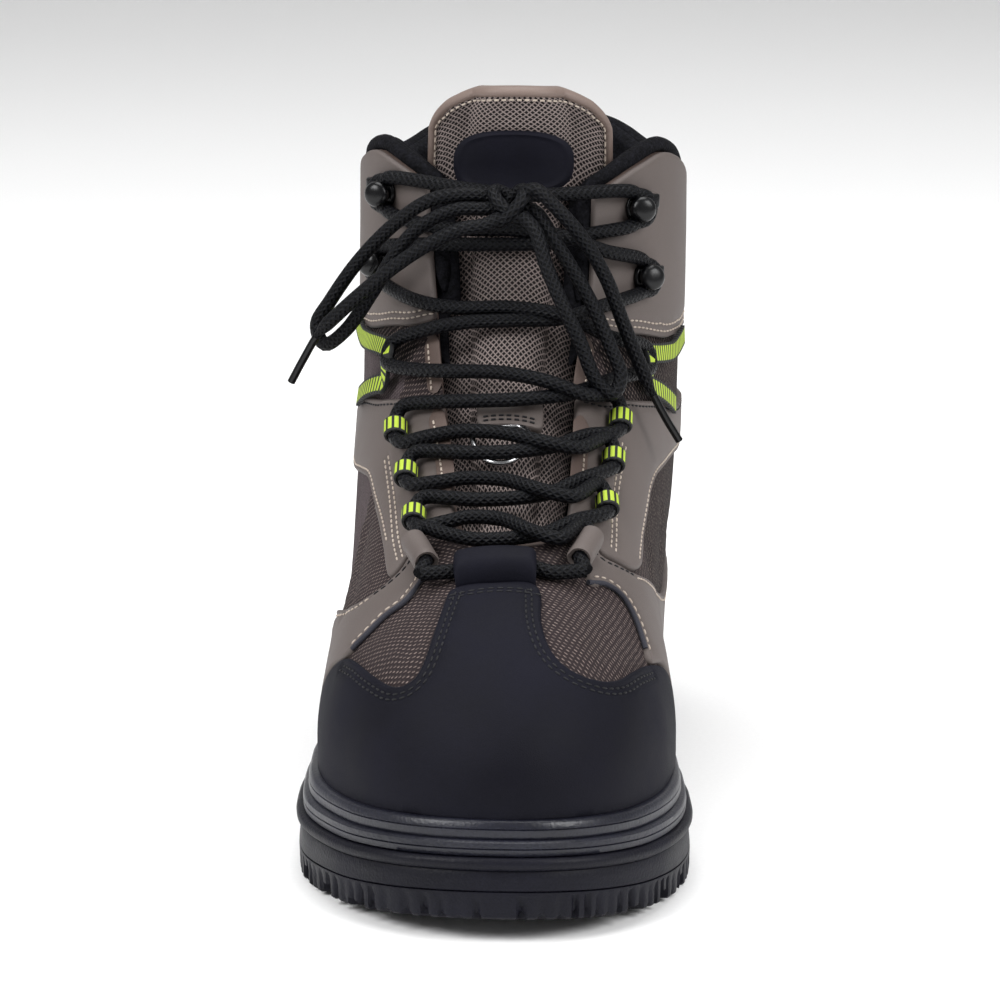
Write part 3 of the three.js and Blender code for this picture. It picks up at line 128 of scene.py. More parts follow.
# Shares of the sole's length and width, from the heel's back edge to the toe tip.
SOLE_PLAN = Table("along axis medial lateral", [
    (0.0, 0.0, 0.37, 0.37), (0.15, 0.0, 0.372, 0.375), (0.27, 0.0, 0.37, 0.394), (0.38, 0.0, 0.37, 0.416),
    (0.49, 0.004, 0.392, 0.443), (0.6, 0.012, 0.437, 0.476), (0.7, 0.026, 0.488, 0.497),
    (0.79, 0.042, 0.502, 0.489), (0.88, 0.052, 0.497, 0.46), (1.0, 0.058, 0.485, 0.43)])
# Shares of the shaft's height.
SOLE_STACK = Table("along ground top", [
    (0.0, 0.014, 0.148), (0.05, 0.0, 0.146), (0.12, 0.0, 0.143), (0.25, 0.0, 0.138), (0.3, 0.0, 0.135),
    (0.37, 0.015, 0.128), (0.45, 0.015, 0.117), (0.53, 0.0, 0.106), (0.66, 0.0, 0.098),
    (0.8, 0.0, 0.099), (0.9, 0.012, 0.108), (0.96, 0.026, 0.12), (1.0, 0.038, 0.13)])
# The last as a fan of sections from the toe tip to the collar.
FORM_PROFILE = Table("frontAlong frontUp backAlong backUp", [
    (0.979, 0.34, 0.979, 0.07), (0.9, 0.39, 0.9, 0.07), (0.82, 0.425, 0.82, 0.07),
    (0.742, 0.462, 0.742, 0.07), (0.664, 0.512, 0.664, 0.07), (0.6, 0.565, 0.59, 0.07),
    (0.55, 0.615, 0.5, 0.07), (0.507, 0.67, 0.4, 0.075), (0.472, 0.722, 0.3, 0.082),
    (0.444, 0.768, 0.19, 0.095), (0.424, 0.806, 0.095, 0.115), (0.41, 0.838, 0.037, 0.18),
    (0.399, 0.868, 0.023, 0.3), (0.391, 0.898, 0.03, 0.44), (0.384, 0.932, 0.043, 0.59),
    (0.38, 0.972, 0.049, 0.74), (0.381, 1.03, 0.047, 0.88), (0.388, 1.14, 0.038, 1.06)], keyed=False)
FORM_SPREAD = Table("axis medial lateral widest backPower frontPower", [
    (0.056, 0.43, 0.38, 0.4, 5, 2.4), (0.053, 0.442, 0.4, 0.36, 5, 2.3), (0.046, 0.448, 0.425, 0.33, 5, 2.15),
    (0.034, 0.448, 0.436, 0.32, 5, 2.05), (0.021, 0.432, 0.436, 0.32, 5, 2.05),
    (0.011, 0.412, 0.428, 0.33, 3.6, 2.05), (0.004, 0.402, 0.422, 0.34, 2.8, 2.1),
    (0, 0.402, 0.424, 0.37, 2.4, 2.15), (0, 0.41, 0.43, 0.4, 2.25, 2.15), (0, 0.418, 0.435, 0.43, 2.2, 2.2),
    (0, 0.424, 0.436, 0.46, 2.2, 2.2), (0, 0.43, 0.434, 0.48, 2.2, 2.2), (0.003, 0.434, 0.432, 0.5, 2.2, 2.2),
    (0.006, 0.437, 0.43, 0.5, 2.2, 2.2), (0.01, 0.44, 0.428, 0.5, 2.2, 2.2),
    (0.012, 0.441, 0.426, 0.5, 2.2, 2.2), (0.014, 0.441, 0.425, 0.5, 2.2, 2.2),
    (0.014, 0.44, 0.425, 0.5, 2.2, 2.2)], keyed=False)
# The collar's edge from the side.
TOPLINE = Table("along up", [
    (0.02, 0.97), (0.06, 0.95), (0.11, 0.915), (0.16, 0.905), (0.21, 0.918), (0.27, 0.958), (0.305, 0.972),
    (0.335, 0.958), (0.36, 0.93), (0.38, 0.9)])
# The throat from the front.
THROAT = Table("up medial lateral", [
    (0.475, 0.02, 0.01), (0.478, 0.12, 0.07), (0.5, 0.175, 0.108), (0.56, 0.178, 0.13), (0.65, 0.178, 0.17),
    (0.8, 0.205, 0.206), (0.93, 0.208, 0.225), (1.2, 0.222, 0.23)])
TONGUE = Table("section half crown flap", [
    (3.9, 0.17, 0.06, 0.07), (4.8, 0.2, 0.033, 0.062), (6, 0.225, 0.022, 0.068), (8, 0.25, 0.018, 0.072),
    (10, 0.275, 0.015, 0.074), (13, 0.295, 0.013, 0.074), (15, 0.305, 0.008, 0.074), (15.9, 0.3, 0, 0.07),
    (16.25, 0.275, -0.006, 0.05), (16.5, 0.22, -0.012, 0.035), (16.62, 0.14, -0.016, 0.015)])

# Outlines of the panels: pairs of section and angle from the ridge, positive on the medial side.
CAP_REAR_MEDIAL = [(4.3, 140), (3.95, 105), (3.55, 82), (3.06, 67), (2.53, 59.5)]
CAP_REAR_LATERAL = [(2.5, -58), (3.0, -70), (3.4, -88), (3.8, -108), (4.2, -140)]
CAP_FRONT = [
    (1.98, 54), (1.56, 50), (1.3, 44), (1.15, 35), (1.12, 27), (1.2, 19.5), (1.4, 14.5), (1.75, 11.5),
    (2.45, 10.5), (2.52, -3.5), (2.45, -17.5), (2.14, -19.5), (1.7, -23), (1.33, -28), (1.12, -34),
    (1.1, -41), (1.25, -47), (1.6, -51), (2.1, -54.5)]
FOXING_TOP_MEDIAL = [
    (3.96, 29), (3.75, 34), (3.85, 40), (4.19, 50.5), (5.08, 65.5), (6.14, 80), (7.5, 94.5), (9, 107),
    (10.2, 117), (11, 130), (11.6, 150), (11.9, 178)]
FOXING_TOP_LATERAL = [
    (3.9, -27), (3.45, -33), (3.34, -38.5), (3.37, -45.5), (3.6, -54), (4.3, -66), (5.3, -77), (6.6, -89),
    (8, -99.5), (9.3, -110), (10.4, -121), (11.2, -138), (11.9, -178)]
FOXING_FRONT_MEDIAL = [(2.8, 56.5), (2.96, 53.5), (3.15, 49.5), (3.3, 44), (3.25, 36), (3.03, 28.5)]
FOXING_FRONT_LATERAL = [(2.6, -55.5), (2.56, -48), (2.62, -40), (2.68, -32), (3.0, -26)]
QUARTER_MEDIAL = [
    (6.8, 5), (6.85, 20), (7.3, 35), (7.95, 45), (8.66, 55.5), (9.6, 67), (10.7, 80), (12, 97), (13, 122),
    (13.5, 150), (13.6, 178), (12.9, 178), (12.8, 150), (12.3, 121), (11.2, 97), (9.9, 85), (8.67, 75),
    (7.7, 67.5), (6.62, 63.5), (5.8, 61), (4.9, 58)]
QUARTER_LATERAL = [
    (6.75, -5), (6.8, -21), (7.16, -32), (8.22, -50), (9.1, -61), (10, -71.5), (11.5, -89), (12.9, -118),
    (13.4, -148), (13.6, -178), (12.9, -178), (12.7, -148), (11.8, -112), (10, -88), (8.4, -74),
    (7.45, -64), (6.72, -56.5), (5.94, -52), (5.08, -47), (4.25, -42.5)]
COLLAR_MEDIAL = [
    (16.6, 178.5), (15.9, 178.5), (15.2, 178.5), (14.6, 178), (14, 124), (13, 91.5), (12.1, 77), (11.5, 68),
    (10.35, 51.5), (9.4, 39), (8.85, 28), (8.7, 5), (16.6, 5)]
COLLAR_LATERAL = [
    (16.6, -5), (8.9, -5), (8.95, -25), (9.4, -36), (10.2, -47), (11, -58), (11.7, -68), (12.6, -83),
    (13.3, -98), (14.1, -128), (14.6, -178), (15.2, -178.5), (15.9, -178.5), (16.6, -178.5)]


class Guide(Enum):
    """What holds the lace at a station."""

    HORN = "rolled leather tube"
    LOOP = "webbing loop"
    STRAPS = "pair of webbing straps"
    HOOK = "moulded hook"


@dataclass(frozen=True)
class Station:
    """A pair of guides: where they sit, and how far the lengths from them arch."""

    guide: Guide
    medial: tuple[float, float]
    lateral: tuple[float, float]
    arch: float

    def place(self, side: int) -> tuple[float, float]:
        """Section and angle on one side."""
        return self.medial if side > 0 else self.lateral


STATIONS = [
    Station(Guide.HORN, (3.4, 25), (3.28, -25), 0),
    Station(Guide.LOOP, (4.68, 34.5), (4.08, -27.5), 0.3),
    Station(Guide.LOOP, (5.93, 37.5), (5.2, -31.5), 1),
    Station(Guide.LOOP, (6.95, 39.5), (6.5, -36), 3.2),
    Station(Guide.STRAPS, (9.1, 50.5), (8.5, -41), 4.5),
    Station(Guide.HOOK, (11.96, 48), (12.6, -52.5), 6),
    Station(Guide.HOOK, (14.07, 43.5), (14.6, -50.5), 3)]
STRAPS = {
    "webbing_upper_medial": ((9.45, 49), (12.2, 79)), "webbing_lower_medial": ((8.85, 53), (10.1, 73)),
    "webbing_upper_lateral": ((8.95, -42), (12.1, -73)), "webbing_lower_lateral": ((8.25, -45), (9.45, -65))}

# Middle lines of the free lace.
FREE_LACE = {
    "bow_loop_lateral": [
        (-2.5, -95, 192), (-7, -94.8, 193), (-15, -95.5, 193.5), (-26, -93.5, 191), (-38.5, -88, 181.5),
        (-50, -85, 169), (-59, -84, 156), (-63.5, -84, 148), (-61, -86, 142), (-54, -90, 147),
        (-45, -93, 160), (-37.5, -96, 173), (-29, -97.5, 183), (-17, -98, 189), (-8, -98, 189.3),
        (-3, -98, 190)],
    "lace_end_lateral": [
        (-3, -101.5, 187), (-7.5, -104.3, 185.2), (-15, -105.5, 184), (-26, -104.5, 178.5),
        (-36, -102.5, 171.5), (-46, -99, 163), (-55, -96, 154.5), (-62, -93, 147), (-67, -91, 138.5),
        (-71.5, -89.5, 130)],
    "bow_loop_medial": [
        (4, -96.5, 190), (9, -98, 188), (14, -102, 181), (20, -104, 172), (27, -106, 160), (33, -110, 147),
        (36.5, -113, 138), (34, -116, 133), (28.5, -117, 138), (23.5, -116, 150), (18, -114, 161),
        (12.5, -110, 173), (8.5, -105, 184), (4.5, -101.5, 187.5)],
    "lace_end_medial": [
        (4, -97.5, 193.5), (8, -99, 196), (15, -101, 190.5), (23.5, -102, 181), (31, -100.5, 168),
        (37, -99, 152), (42, -98, 139.5), (46, -97.5, 130), (50.5, -96, 121), (55, -94, 113)]}
KNOT = np.array([0.5, -98.0, 190.5])


def unit(v: np.ndarray) -> np.ndarray:
    """Vectors at length one."""
    return v / np.maximum(np.linalg.norm(v, axis=-1, keepdims=True), 1e-12)


def round_end(share: np.ndarray, power: float) -> np.ndarray:
    """How far a round end has opened at a share of its reach."""
    return (1 - (1 - np.clip(share, 0, 1)) ** power) ** (1 / power)


def smooth_curve(points: np.ndarray, step: float, closed: bool = False) -> np.ndarray:
    """A centripetal Catmull-Rom curve through points, at even steps.

    Args:
        points: The points that it goes through.
        step: Distance from sample to sample.
        closed: True for a loop.

    Returns:
        The samples. A loop's last isn't its first.
    """
    p = np.asarray(points, float)
    ends = (p[-1:], p[:2]) if closed else (2 * p[:1] - p[1:2], 2 * p[-1:] - p[-2:-1])
    p = np.concatenate([ends[0], p, ends[1]])
    fine = []
    for a, b, c, d in zip(p[:-3], p[1:-2], p[2:-1], p[3:]):
        steps = [max(np.linalg.norm(q - r) ** 0.5, 1e-6) for q, r in ((b, a), (c, b), (d, c))]
        knots = np.cumsum([0] + steps)
        t = np.linspace(knots[1], knots[2], 24, endpoint=False)[:, None]
        k = knots
        ab = (k[1] - t) / (k[1] - k[0]) * a + (t - k[0]) / (k[1] - k[0]) * b
        bc = (k[2] - t) / (k[2] - k[1]) * b + (t - k[1]) / (k[2] - k[1]) * c
        cd = (k[3] - t) / (k[3] - k[2]) * c + (t - k[2]) / (k[3] - k[2]) * d
        abc = (k[2] - t) / (k[2] - k[0]) * ab + (t - k[0]) / (k[2] - k[0]) * bc
        bcd = (k[3] - t) / (k[3] - k[1]) * bc + (t - k[1]) / (k[3] - k[1]) * cd
        fine.append((k[2] - t) / (k[2] - k[1]) * abc + (t - k[1]) / (k[2] - k[1]) * bcd)
    fine = np.concatenate(fine + [p[-2:-1]])
    return even(fine, step, closed)


def even(points: np.ndarray, step: float, closed: bool = False) -> np.ndarray:
    """Resamples a line at even steps.

    Args:
        points: The line's points. A loop's last is its first.
        step: Distance from sample to sample.
        closed: True to leave the last sample out.

    Returns:
        The samples.
    """
    run = np.concatenate([[0], np.cumsum(np.linalg.norm(np.diff(points, axis=0), axis=1))])
    count = max(int(round(run[-1] / step)), 3)
    at = np.linspace(0, run[-1], count + 1)
    even_points = np.stack([np.interp(at, run, points[:, k]) for k in range(points.shape[1])], 1)
    return even_points[:-1] if closed else even_points


@dataclass(frozen=True)
class Crease:
    """A soft trough, or with a negative depth a ridge, from one place of the last to another."""

    start: tuple[float, float]
    end: tuple[float, float]
    depth: float
    width: float


CREASES = [
    Crease((3.9, -62), (5.6, -58), 0.7, 3.5), Crease((4.6, -80), (6.3, -66), 0.8, 4.0),
    Crease((5.6, -86), (7.6, -72), 0.7, 4.5), Crease((4.4, -72), (6.0, -62), -0.6, 3.5),
    Crease((2.9, 30), (1.5, 42), 0.5, 3.0), Crease((2.3, 22), (1.5, 30), -0.5, 3.5),
    Crease((2.6, -24), (1.6, -34), 0.5, 3.0), Crease((2.2, -44), (1.5, -38), -0.4, 3.5),
    Crease((4.6, 78), (6.2, 70), 0.6, 4.0), Crease((6.4, 92), (8.0, 80), 0.7, 4.5),
    Crease((8.6, -90), (10.2, -112), 0.6, 6.0), Crease((8.8, 92), (10.4, 118), 0.6, 6.0),
    Crease((11.0, -100), (12.2, -140), 0.7, 5.0), Crease((11.0, 104), (12.4, 140), 0.7, 5.0)]


@dataclass(frozen=True)
class Last:
    """The form that the upper is made on, and the sole's plan and stack."""

    length: float = 318.0
    width: float = 122.0
    heel: float = 46.0
    height: float = 206.0
    lug_depth: float = 5.5
    plate: float = 3.0
    rand_height: float = 11.0

    def y_of(self, along: np.ndarray | float) -> np.ndarray:
        """The y of a share of the sole's length."""
        return self.heel - np.asarray(along) * self.length

    def along_of(self, y: np.ndarray | float) -> np.ndarray:
        """The share of the sole's length at a y."""
        return np.clip((self.heel - np.asarray(y)) / self.length, 0, 1)

    def ground(self, along: np.ndarray) -> np.ndarray:
        """Height of the tread."""
        return SOLE_STACK.at("ground", along) * self.height

    def sole_top(self, along: np.ndarray) -> np.ndarray:
        """Height of the midsole's top."""
        return SOLE_STACK.at("top", along) * self.height

    def seam(self, along: np.ndarray) -> np.ndarray:
        """Height where the outsole meets the midsole."""
        return self.ground(along) + self.lug_depth + self.plate

    def rand_top(self, along: np.ndarray) -> np.ndarray:
        """Height of the rand's top."""
        return self.sole_top(along) + CLEARANCE + self.rand_height

    def sole_edges(self, along: np.ndarray, grown: np.ndarray | float = 0) -> tuple[np.ndarray, ...]:
        """The sole's edges at stations.

        Args:
            along: The stations.
            grown: How far the edges are moved out.

        Returns:
            The y, the axis, the medial and the lateral edge.
        """
        medial, lateral = (SOLE_PLAN.at(c, along) * self.width for c in ("medial", "lateral"))
        axis = SOLE_PLAN.at("axis", along) * self.width
        open_ = round_end(along / 0.15, 2.3) * round_end((1 - along) / 0.26, 2.2)
        y = self.y_of(along) - grown * (2 * along - 1)
        return y, axis, axis + (medial - axis + grown) * open_, axis - (lateral + axis + grown) * open_

    def base(self, section: np.ndarray, around: np.ndarray) -> np.ndarray:
        """Points of the form's surface.

        Args:
            section: Counts the rows of the tables.
            around: The angle from the ridge in degrees, positive on the medial side.

        Returns:
            An array of points.
        """
        section, around = np.broadcast_arrays(np.asarray(section, float), np.asarray(around, float))
        turn = np.radians(90 - np.abs(around))
        front_y = self.y_of(FORM_PROFILE.at("frontAlong", section))
        back_y = self.y_of(FORM_PROFILE.at("backAlong", section))
        from_tip = (front_y - self.y_of(0.979)) / self.length
        wide = round_end(from_tip / 0.27, 2.2)
        ridge = round_end(from_tip / 0.17, 2.3)
        bottom = round_end(from_tip / 0.17, 5)
        nose = 0.21
        front_z = (nose + (FORM_PROFILE.at("frontUp", section) - nose) * ridge) * self.height
        back_z = (nose + (FORM_PROFILE.at("backUp", section) - nose) * bottom) * self.height
        axis = FORM_SPREAD.at("axis", section) * self.width
        reach = np.where(around > 0, FORM_SPREAD.at("medial", section) * self.width - axis,
                         FORM_SPREAD.at("lateral", section) * self.width + axis)
        widest = FORM_SPREAD.at("widest", section)
        front, back = (FORM_SPREAD.at(name, section) for name in ("frontPower", "backPower"))
        power = np.where(turn > 0, front, back)
        across = np.maximum(np.cos(turn), 0) ** (2 / power) * reach * wide
        rise = np.abs(np.sin(turn)) ** (2 / power)
        chord = np.where(turn > 0, widest + (1 - widest) * rise, widest - widest * rise)
        return np.stack([axis + np.sign(around) * across, back_y + (front_y - back_y) * chord,
                         back_z + (front_z - back_z) * chord], -1)

    def normal(self, section: np.ndarray, around: np.ndarray) -> np.ndarray:
        """Outward normals of the surface."""
        section, around = np.broadcast_arrays(np.asarray(section, float), np.asarray(around, float))
        low = self.base(np.maximum(section - 0.02, 0.0002), around)
        high = self.base(np.minimum(section + 0.02, 17), around)
        left = self.base(section, (around - 1.5 + 180) % 360 - 180)
        right = self.base(section, (around + 1.5 + 180) % 360 - 180)
        return unit(np.cross(right - left, high - low))

    def point(self, section: np.ndarray, around: np.ndarray, depth: np.ndarray | float) -> np.ndarray:
        """Points at a depth outside the surface."""
        depth = np.asarray(depth, float)[..., None]
        return self.base(section, around) + self.normal(section, around) * depth

    def relief(self, points: np.ndarray) -> np.ndarray:
        """How far the creases raise or lower the surface at points of it."""
        total = np.zeros(points.shape[:-1])
        for crease in CREASES:
            (s0, a0), (s1, a1) = crease.start, crease.end
            t = np.linspace(0, 1, 7)
            line = self.base(s0 + (s1 - s0) * t, a0 + (a1 - a0) * t)
            near = np.min(np.linalg.norm(points[..., None, :] - line, axis=-1), axis=-1)
            total -= crease.depth * np.exp(-((near / crease.width) ** 2))
        return total

    def section_at(self, height: np.ndarray) -> np.ndarray:
        """The section whose ridge point lies at a height."""
        sections = np.linspace(0.01, 17, 1700)
        return np.interp(height, self.base(sections, 0.0)[:, 2], sections)

    def around_for(self, section: np.ndarray, across: np.ndarray) -> np.ndarray:
        """The angle at which a section's front lies at a distance across from its axis."""
        axis = FORM_SPREAD.at("axis", section)
        reach = np.where(np.asarray(across) > 0, FORM_SPREAD.at("medial", section) - axis,
                         FORM_SPREAD.at("lateral", section) + axis) * self.width
        share = np.minimum(np.abs(across) / reach, 0.97)
        power = FORM_SPREAD.at("frontPower", section)
        return np.sign(across) * np.degrees(np.arcsin(share ** (power / 2)))

    def facing(self, across: float, height: float, depth: float) -> np.ndarray:
        """The point at a depth off the form that lies at a place across and a height."""
        section = float(self.section_at(height))
        offset = across - float(FORM_SPREAD.at("axis", section)) * self.width
        found = np.zeros(3)
        for _ in range(20):
            around = float(self.around_for(section, offset))
            found = self.point(section, around, depth)
            rise = (self.base(section + 0.1, around) - self.base(section - 0.1, around))[2]
            section += (height - found[2]) * 0.1 / max(rise, 0.5)
            offset += (across - found[0]) * 0.7
        return found

    def seat(self, section: float, around: float, depth: float, lean: float = 0.0) -> np.ndarray:
        """Axes on the surface: x along the panel, y outwards and z up the section.

        Args:
            section: The section.
            around: The angle.
            depth: The depth of the origin.
            lean: Turn of x and z about y, in degrees.

        Returns:
            A 4 by 4 matrix.
        """
        y = self.normal(section, around)
        up = self.base(section + 0.05, around) - self.base(section - 0.05, around)
        z = unit(up - y * (up @ y))
        z = np.array(Matrix.Rotation(math.radians(lean), 3, Vector(y)) @ Vector(z))
        made = np.eye(4)
        made[:3, 0], made[:3, 1], made[:3, 2] = np.cross(y, z), y, z
        made[:3, 3] = self.point(section, around, depth)
        return made

    def throat_field(self, p: np.ndarray, widened: float = 0.0) -> np.ndarray:
        """How far points lie outside the throat's opening, in millimetres."""
        up = p[..., 2] / self.height
        medial = THROAT.at("medial", up) * self.width + widened
        lateral = THROAT.at("lateral", up) * self.width + widened
        beside = np.maximum(p[..., 0] - medial, -lateral - p[..., 0])
        below = THROAT_FOOT * self.height - widened - p[..., 2]
        return np.maximum(np.maximum(beside, below), p[..., 1] + self.heel / 2)

    def collar_field(self, p: np.ndarray, raised: float = 0.0) -> np.ndarray:
        """How far points lie under the collar's edge."""
        return TOPLINE.at("up", self.along_of(p[..., 1])) * self.height + raised - p[..., 2]


LAST = Last()


# Meshes

def leave_edit() -> None:
    """Deselects everything in object mode."""
    if bpy.context.object and bpy.context.object.mode != "OBJECT":
        bpy.ops.object.mode_set(mode="OBJECT")
    bpy.ops.object.select_all(action="DESELECT")


def choose(obj: bpy.types.Object) -> None:
    """Makes one object the selected and active one."""
    leave_edit()
    obj.select_set(True)
    bpy.context.view_layer.objects.active = obj


def apply_modifier(obj: bpy.types.Object, kind: str, **settings: object) -> None:
    """Adds a modifier to an object and applies it.

    Args:
        obj: The object.
        kind: The modifier's type.
        settings: Its properties.
    """
    choose(obj)
    modifier = obj.modifiers.new(kind.lower(), kind)
    for key, value in settings.items():
        setattr(modifier, key, value)
    bpy.ops.object.modifier_apply(modifier=modifier.name)


def in_edit(obj: bpy.types.Object, *steps: Callable[[], object]) -> None:
    """Runs edit operators on the whole mesh.

    Args:
        obj: The object.
        steps: What to call in edit mode, each with everything selected.
    """
    choose(obj)
    bpy.ops.object.mode_set(mode="EDIT")
    for step in steps:
        bpy.ops.mesh.select_all(action="SELECT")
        step()
    bpy.ops.object.mode_set(mode="OBJECT")


def weld(obj: bpy.types.Object, distance: float = 0.02) -> None:
    """Merges doubles, closes holes and turns the faces outwards.

    Args:
        obj: The object.
        distance: How close doubles lie, in millimetres.
    """
    in_edit(obj, lambda: bpy.ops.mesh.remove_doubles(threshold=distance * MM),
            lambda: bpy.ops.mesh.fill_holes(sides=0),
            lambda: bpy.ops.mesh.normals_make_consistent(inside=False))


def smooth(obj: bpy.types.Object, angle: float = 40.0) -> None:
    """Shades an object smooth up to an angle."""
    choose(obj)
    bpy.ops.object.shade_smooth_by_angle(angle=math.radians(angle))


def plain_mesh(name: str, points: np.ndarray, faces: Sequence[Sequence[int]]) -> bpy.types.Object:
    """A mesh from points in millimetres.

    Args:
        name: The object's name.
        points: Its vertices.
        faces: Their indices, face by face.

    Returns:
        The object.
    """
    mesh = bpy.data.meshes.new(name)
    mesh.from_pydata((np.asarray(points) * MM).tolist(), [], [list(map(int, f)) for f in faces])
    mesh.validate()
    obj = bpy.data.objects.new(name, mesh)
    bpy.context.scene.collection.objects.link(obj)
    return obj


def grid(name: str, columns: int, rows: int, place: Callable[[np.ndarray, np.ndarray], np.ndarray],
         size: tuple[float, float] | None = None) -> bpy.types.Object:
    """A grid primitive whose points are laid on a surface.

    Args:
        name: The object's name.
        columns: Faces across.
        rows: Faces along.
        place: Gives points in millimetres for shares across and along.
        size: Width and length of the UV map in millimetres, where a pattern follows the surface.

    Returns:
        The object.
    """
    leave_edit()
    bpy.ops.mesh.primitive_grid_add(x_subdivisions=columns, y_subdivisions=rows, size=1, calc_uvs=True)
    obj = bpy.context.object
    obj.name = obj.data.name = name
    co = np.zeros(len(obj.data.vertices) * 3)
    obj.data.vertices.foreach_get("co", co)
    co = co.reshape(-1, 3)
    points = place(co[:, 0] + 0.5, co[:, 1] + 0.5)
    obj.data.vertices.foreach_set("co", (points * MM).ravel())
    obj.data.update()
    if size is not None:
        uv = np.zeros(len(obj.data.loops) * 2)
        layer = obj.data.uv_layers[0]
        layer.data.foreach_get("uv", uv)
        layer.data.foreach_set("uv", (uv.reshape(-1, 2) * np.array(size)).ravel())
    return obj


def frames(path: np.ndarray, up: np.ndarray | None = None) -> tuple[np.ndarray, np.ndarray, np.ndarray]:
    """Frames along a path that turn as little as they can.

    Args:
        path: The points.
        up: What the frames' second axis keeps close to, or None.

    Returns:
        The tangents, and two axes across the path.
    """
    tangent = unit(np.gradient(path, axis=0))
    first = np.array([0.0, 0, 1]) if abs(tangent[0][2]) < 0.9 else np.array([1.0, 0, 0])
    axes = np.zeros_like(path)
    axis = first
    for k, t in enumerate(tangent):
        axis = up[k] if up is not None else axis
        axis = unit(axis - t * (axis @ t))
        axes[k] = axis
    return tangent, axes, np.cross(tangent, axes)


def tube(name: str, path: np.ndarray, radius: float | np.ndarray, sides: int = 14,
         flat: float = 1.0, up: np.ndarray | None = None) -> bpy.types.Object:
    """A round or flattened tube along a path, closed at its ends.

    Args:
        name: The object's name.
        path: Points of its middle line, in millimetres, evenly spaced.
        radius: Its radius, or one for each point.
        sides: Faces round it.
        flat: Its height along up as a share of its width.
        up: Directions that its height keeps to.

    Returns:
        The object, with turns and millimetres as its UV map.
    """
    _, high, wide = frames(path, up)
    radius = np.broadcast_to(np.asarray(radius, float), len(path))
    length = float(np.linalg.norm(np.diff(path, axis=0), axis=1).sum())

    def place(u: np.ndarray, v: np.ndarray) -> np.ndarray:
        """Points round the path."""
        k = np.rint(v * (len(path) - 1)).astype(int)
        turn = -2 * np.pi * u
        return (path[k] + wide[k] * (radius[k] * np.cos(turn))[:, None]
                + high[k] * (radius[k] * flat * np.sin(turn))[:, None])

    obj = grid(name, sides, len(path) - 1, place, size=(1.0, length))
    weld(obj)
    smooth(obj, 60)
    return obj


def join(name: str, parts: Sequence[bpy.types.Object]) -> bpy.types.Object:
    """Joins objects into the first."""
    leave_edit()
    for part in parts:
        part.select_set(True)
    bpy.context.view_layer.objects.active = parts[0]
    if len(parts) > 1:
        bpy.ops.object.join()
    parts[0].name = parts[0].data.name = name
    return parts[0]


def cut(obj: bpy.types.Object, cutter: bpy.types.Object, keep: bool = False) -> None:
    """Cuts one closed mesh by another.

    Args:
        obj: What is cut.
        cutter: What cuts it, and goes.
        keep: True to keep what lies in the cutter.
    """
    apply_modifier(obj, "BOOLEAN", operation="INTERSECT" if keep else "DIFFERENCE", object=cutter,
                   solver="EXACT")
    bpy.data.objects.remove(cutter, do_unlink=True)


def prism(outline: np.ndarray, axes: tuple[int, int, int], low: float, high: float) -> bpy.types.Object:
    """A straight prism of an outline, for cutting.

    Args:
        outline: Points of the outline.
        axes: Which axes its x, y and depth run along.
        low: Where it starts along its depth.
        high: Where it ends.

    Returns:
        The object.
    """
    count = len(outline)
    points = np.zeros((2 * count, 3))
    points[:, axes[0]] = np.tile(outline[:, 0], 2)
    points[:, axes[1]] = np.tile(outline[:, 1], 2)
    points[:, axes[2]] = np.repeat([low, high], count)
    faces = [list(range(count)), list(range(count, 2 * count))]
    faces += [[k, (k + 1) % count, (k + 1) % count + count, k + count] for k in range(count)]
    obj = plain_mesh("cutter", points, faces)
    in_edit(obj, lambda: bpy.ops.mesh.normals_make_consistent(inside=False))
    return obj


def finish_piece(obj: bpy.types.Object, finish: "Finish", *nodes: str,
                 slot: str | None = None) -> bpy.types.Object:
    """Gives a piece its finish and body, and hides the CAD nodes that it stands for.

    Args:
        obj: The piece.
        finish: What its first material is made from.
        nodes: CAD nodes that it stands for.
        slot: The record's material slot; not used.

    Returns:
        The piece.
    """
    if not obj.data.materials:
        obj.data.materials.append(finish.material())
    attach(obj, BODY)
    if nodes:
        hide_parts(*nodes)
    log.info("%s: %d faces", obj.name, len(obj.data.polygons))
    return obj


# Finishes

def linear(code: str) -> tuple[float, float, float, float]:
    """An sRGB hex colour in linear light."""
    parts = [int(code[k:k + 2], 16) / 255 for k in (1, 3, 5)]
    red, green, blue = (c / 12.92 if c <= 0.04045 else ((c + 0.055) / 1.055) ** 2.4 for c in parts)
    return red, green, blue, 1.0


Value = bpy.types.NodeSocket | float


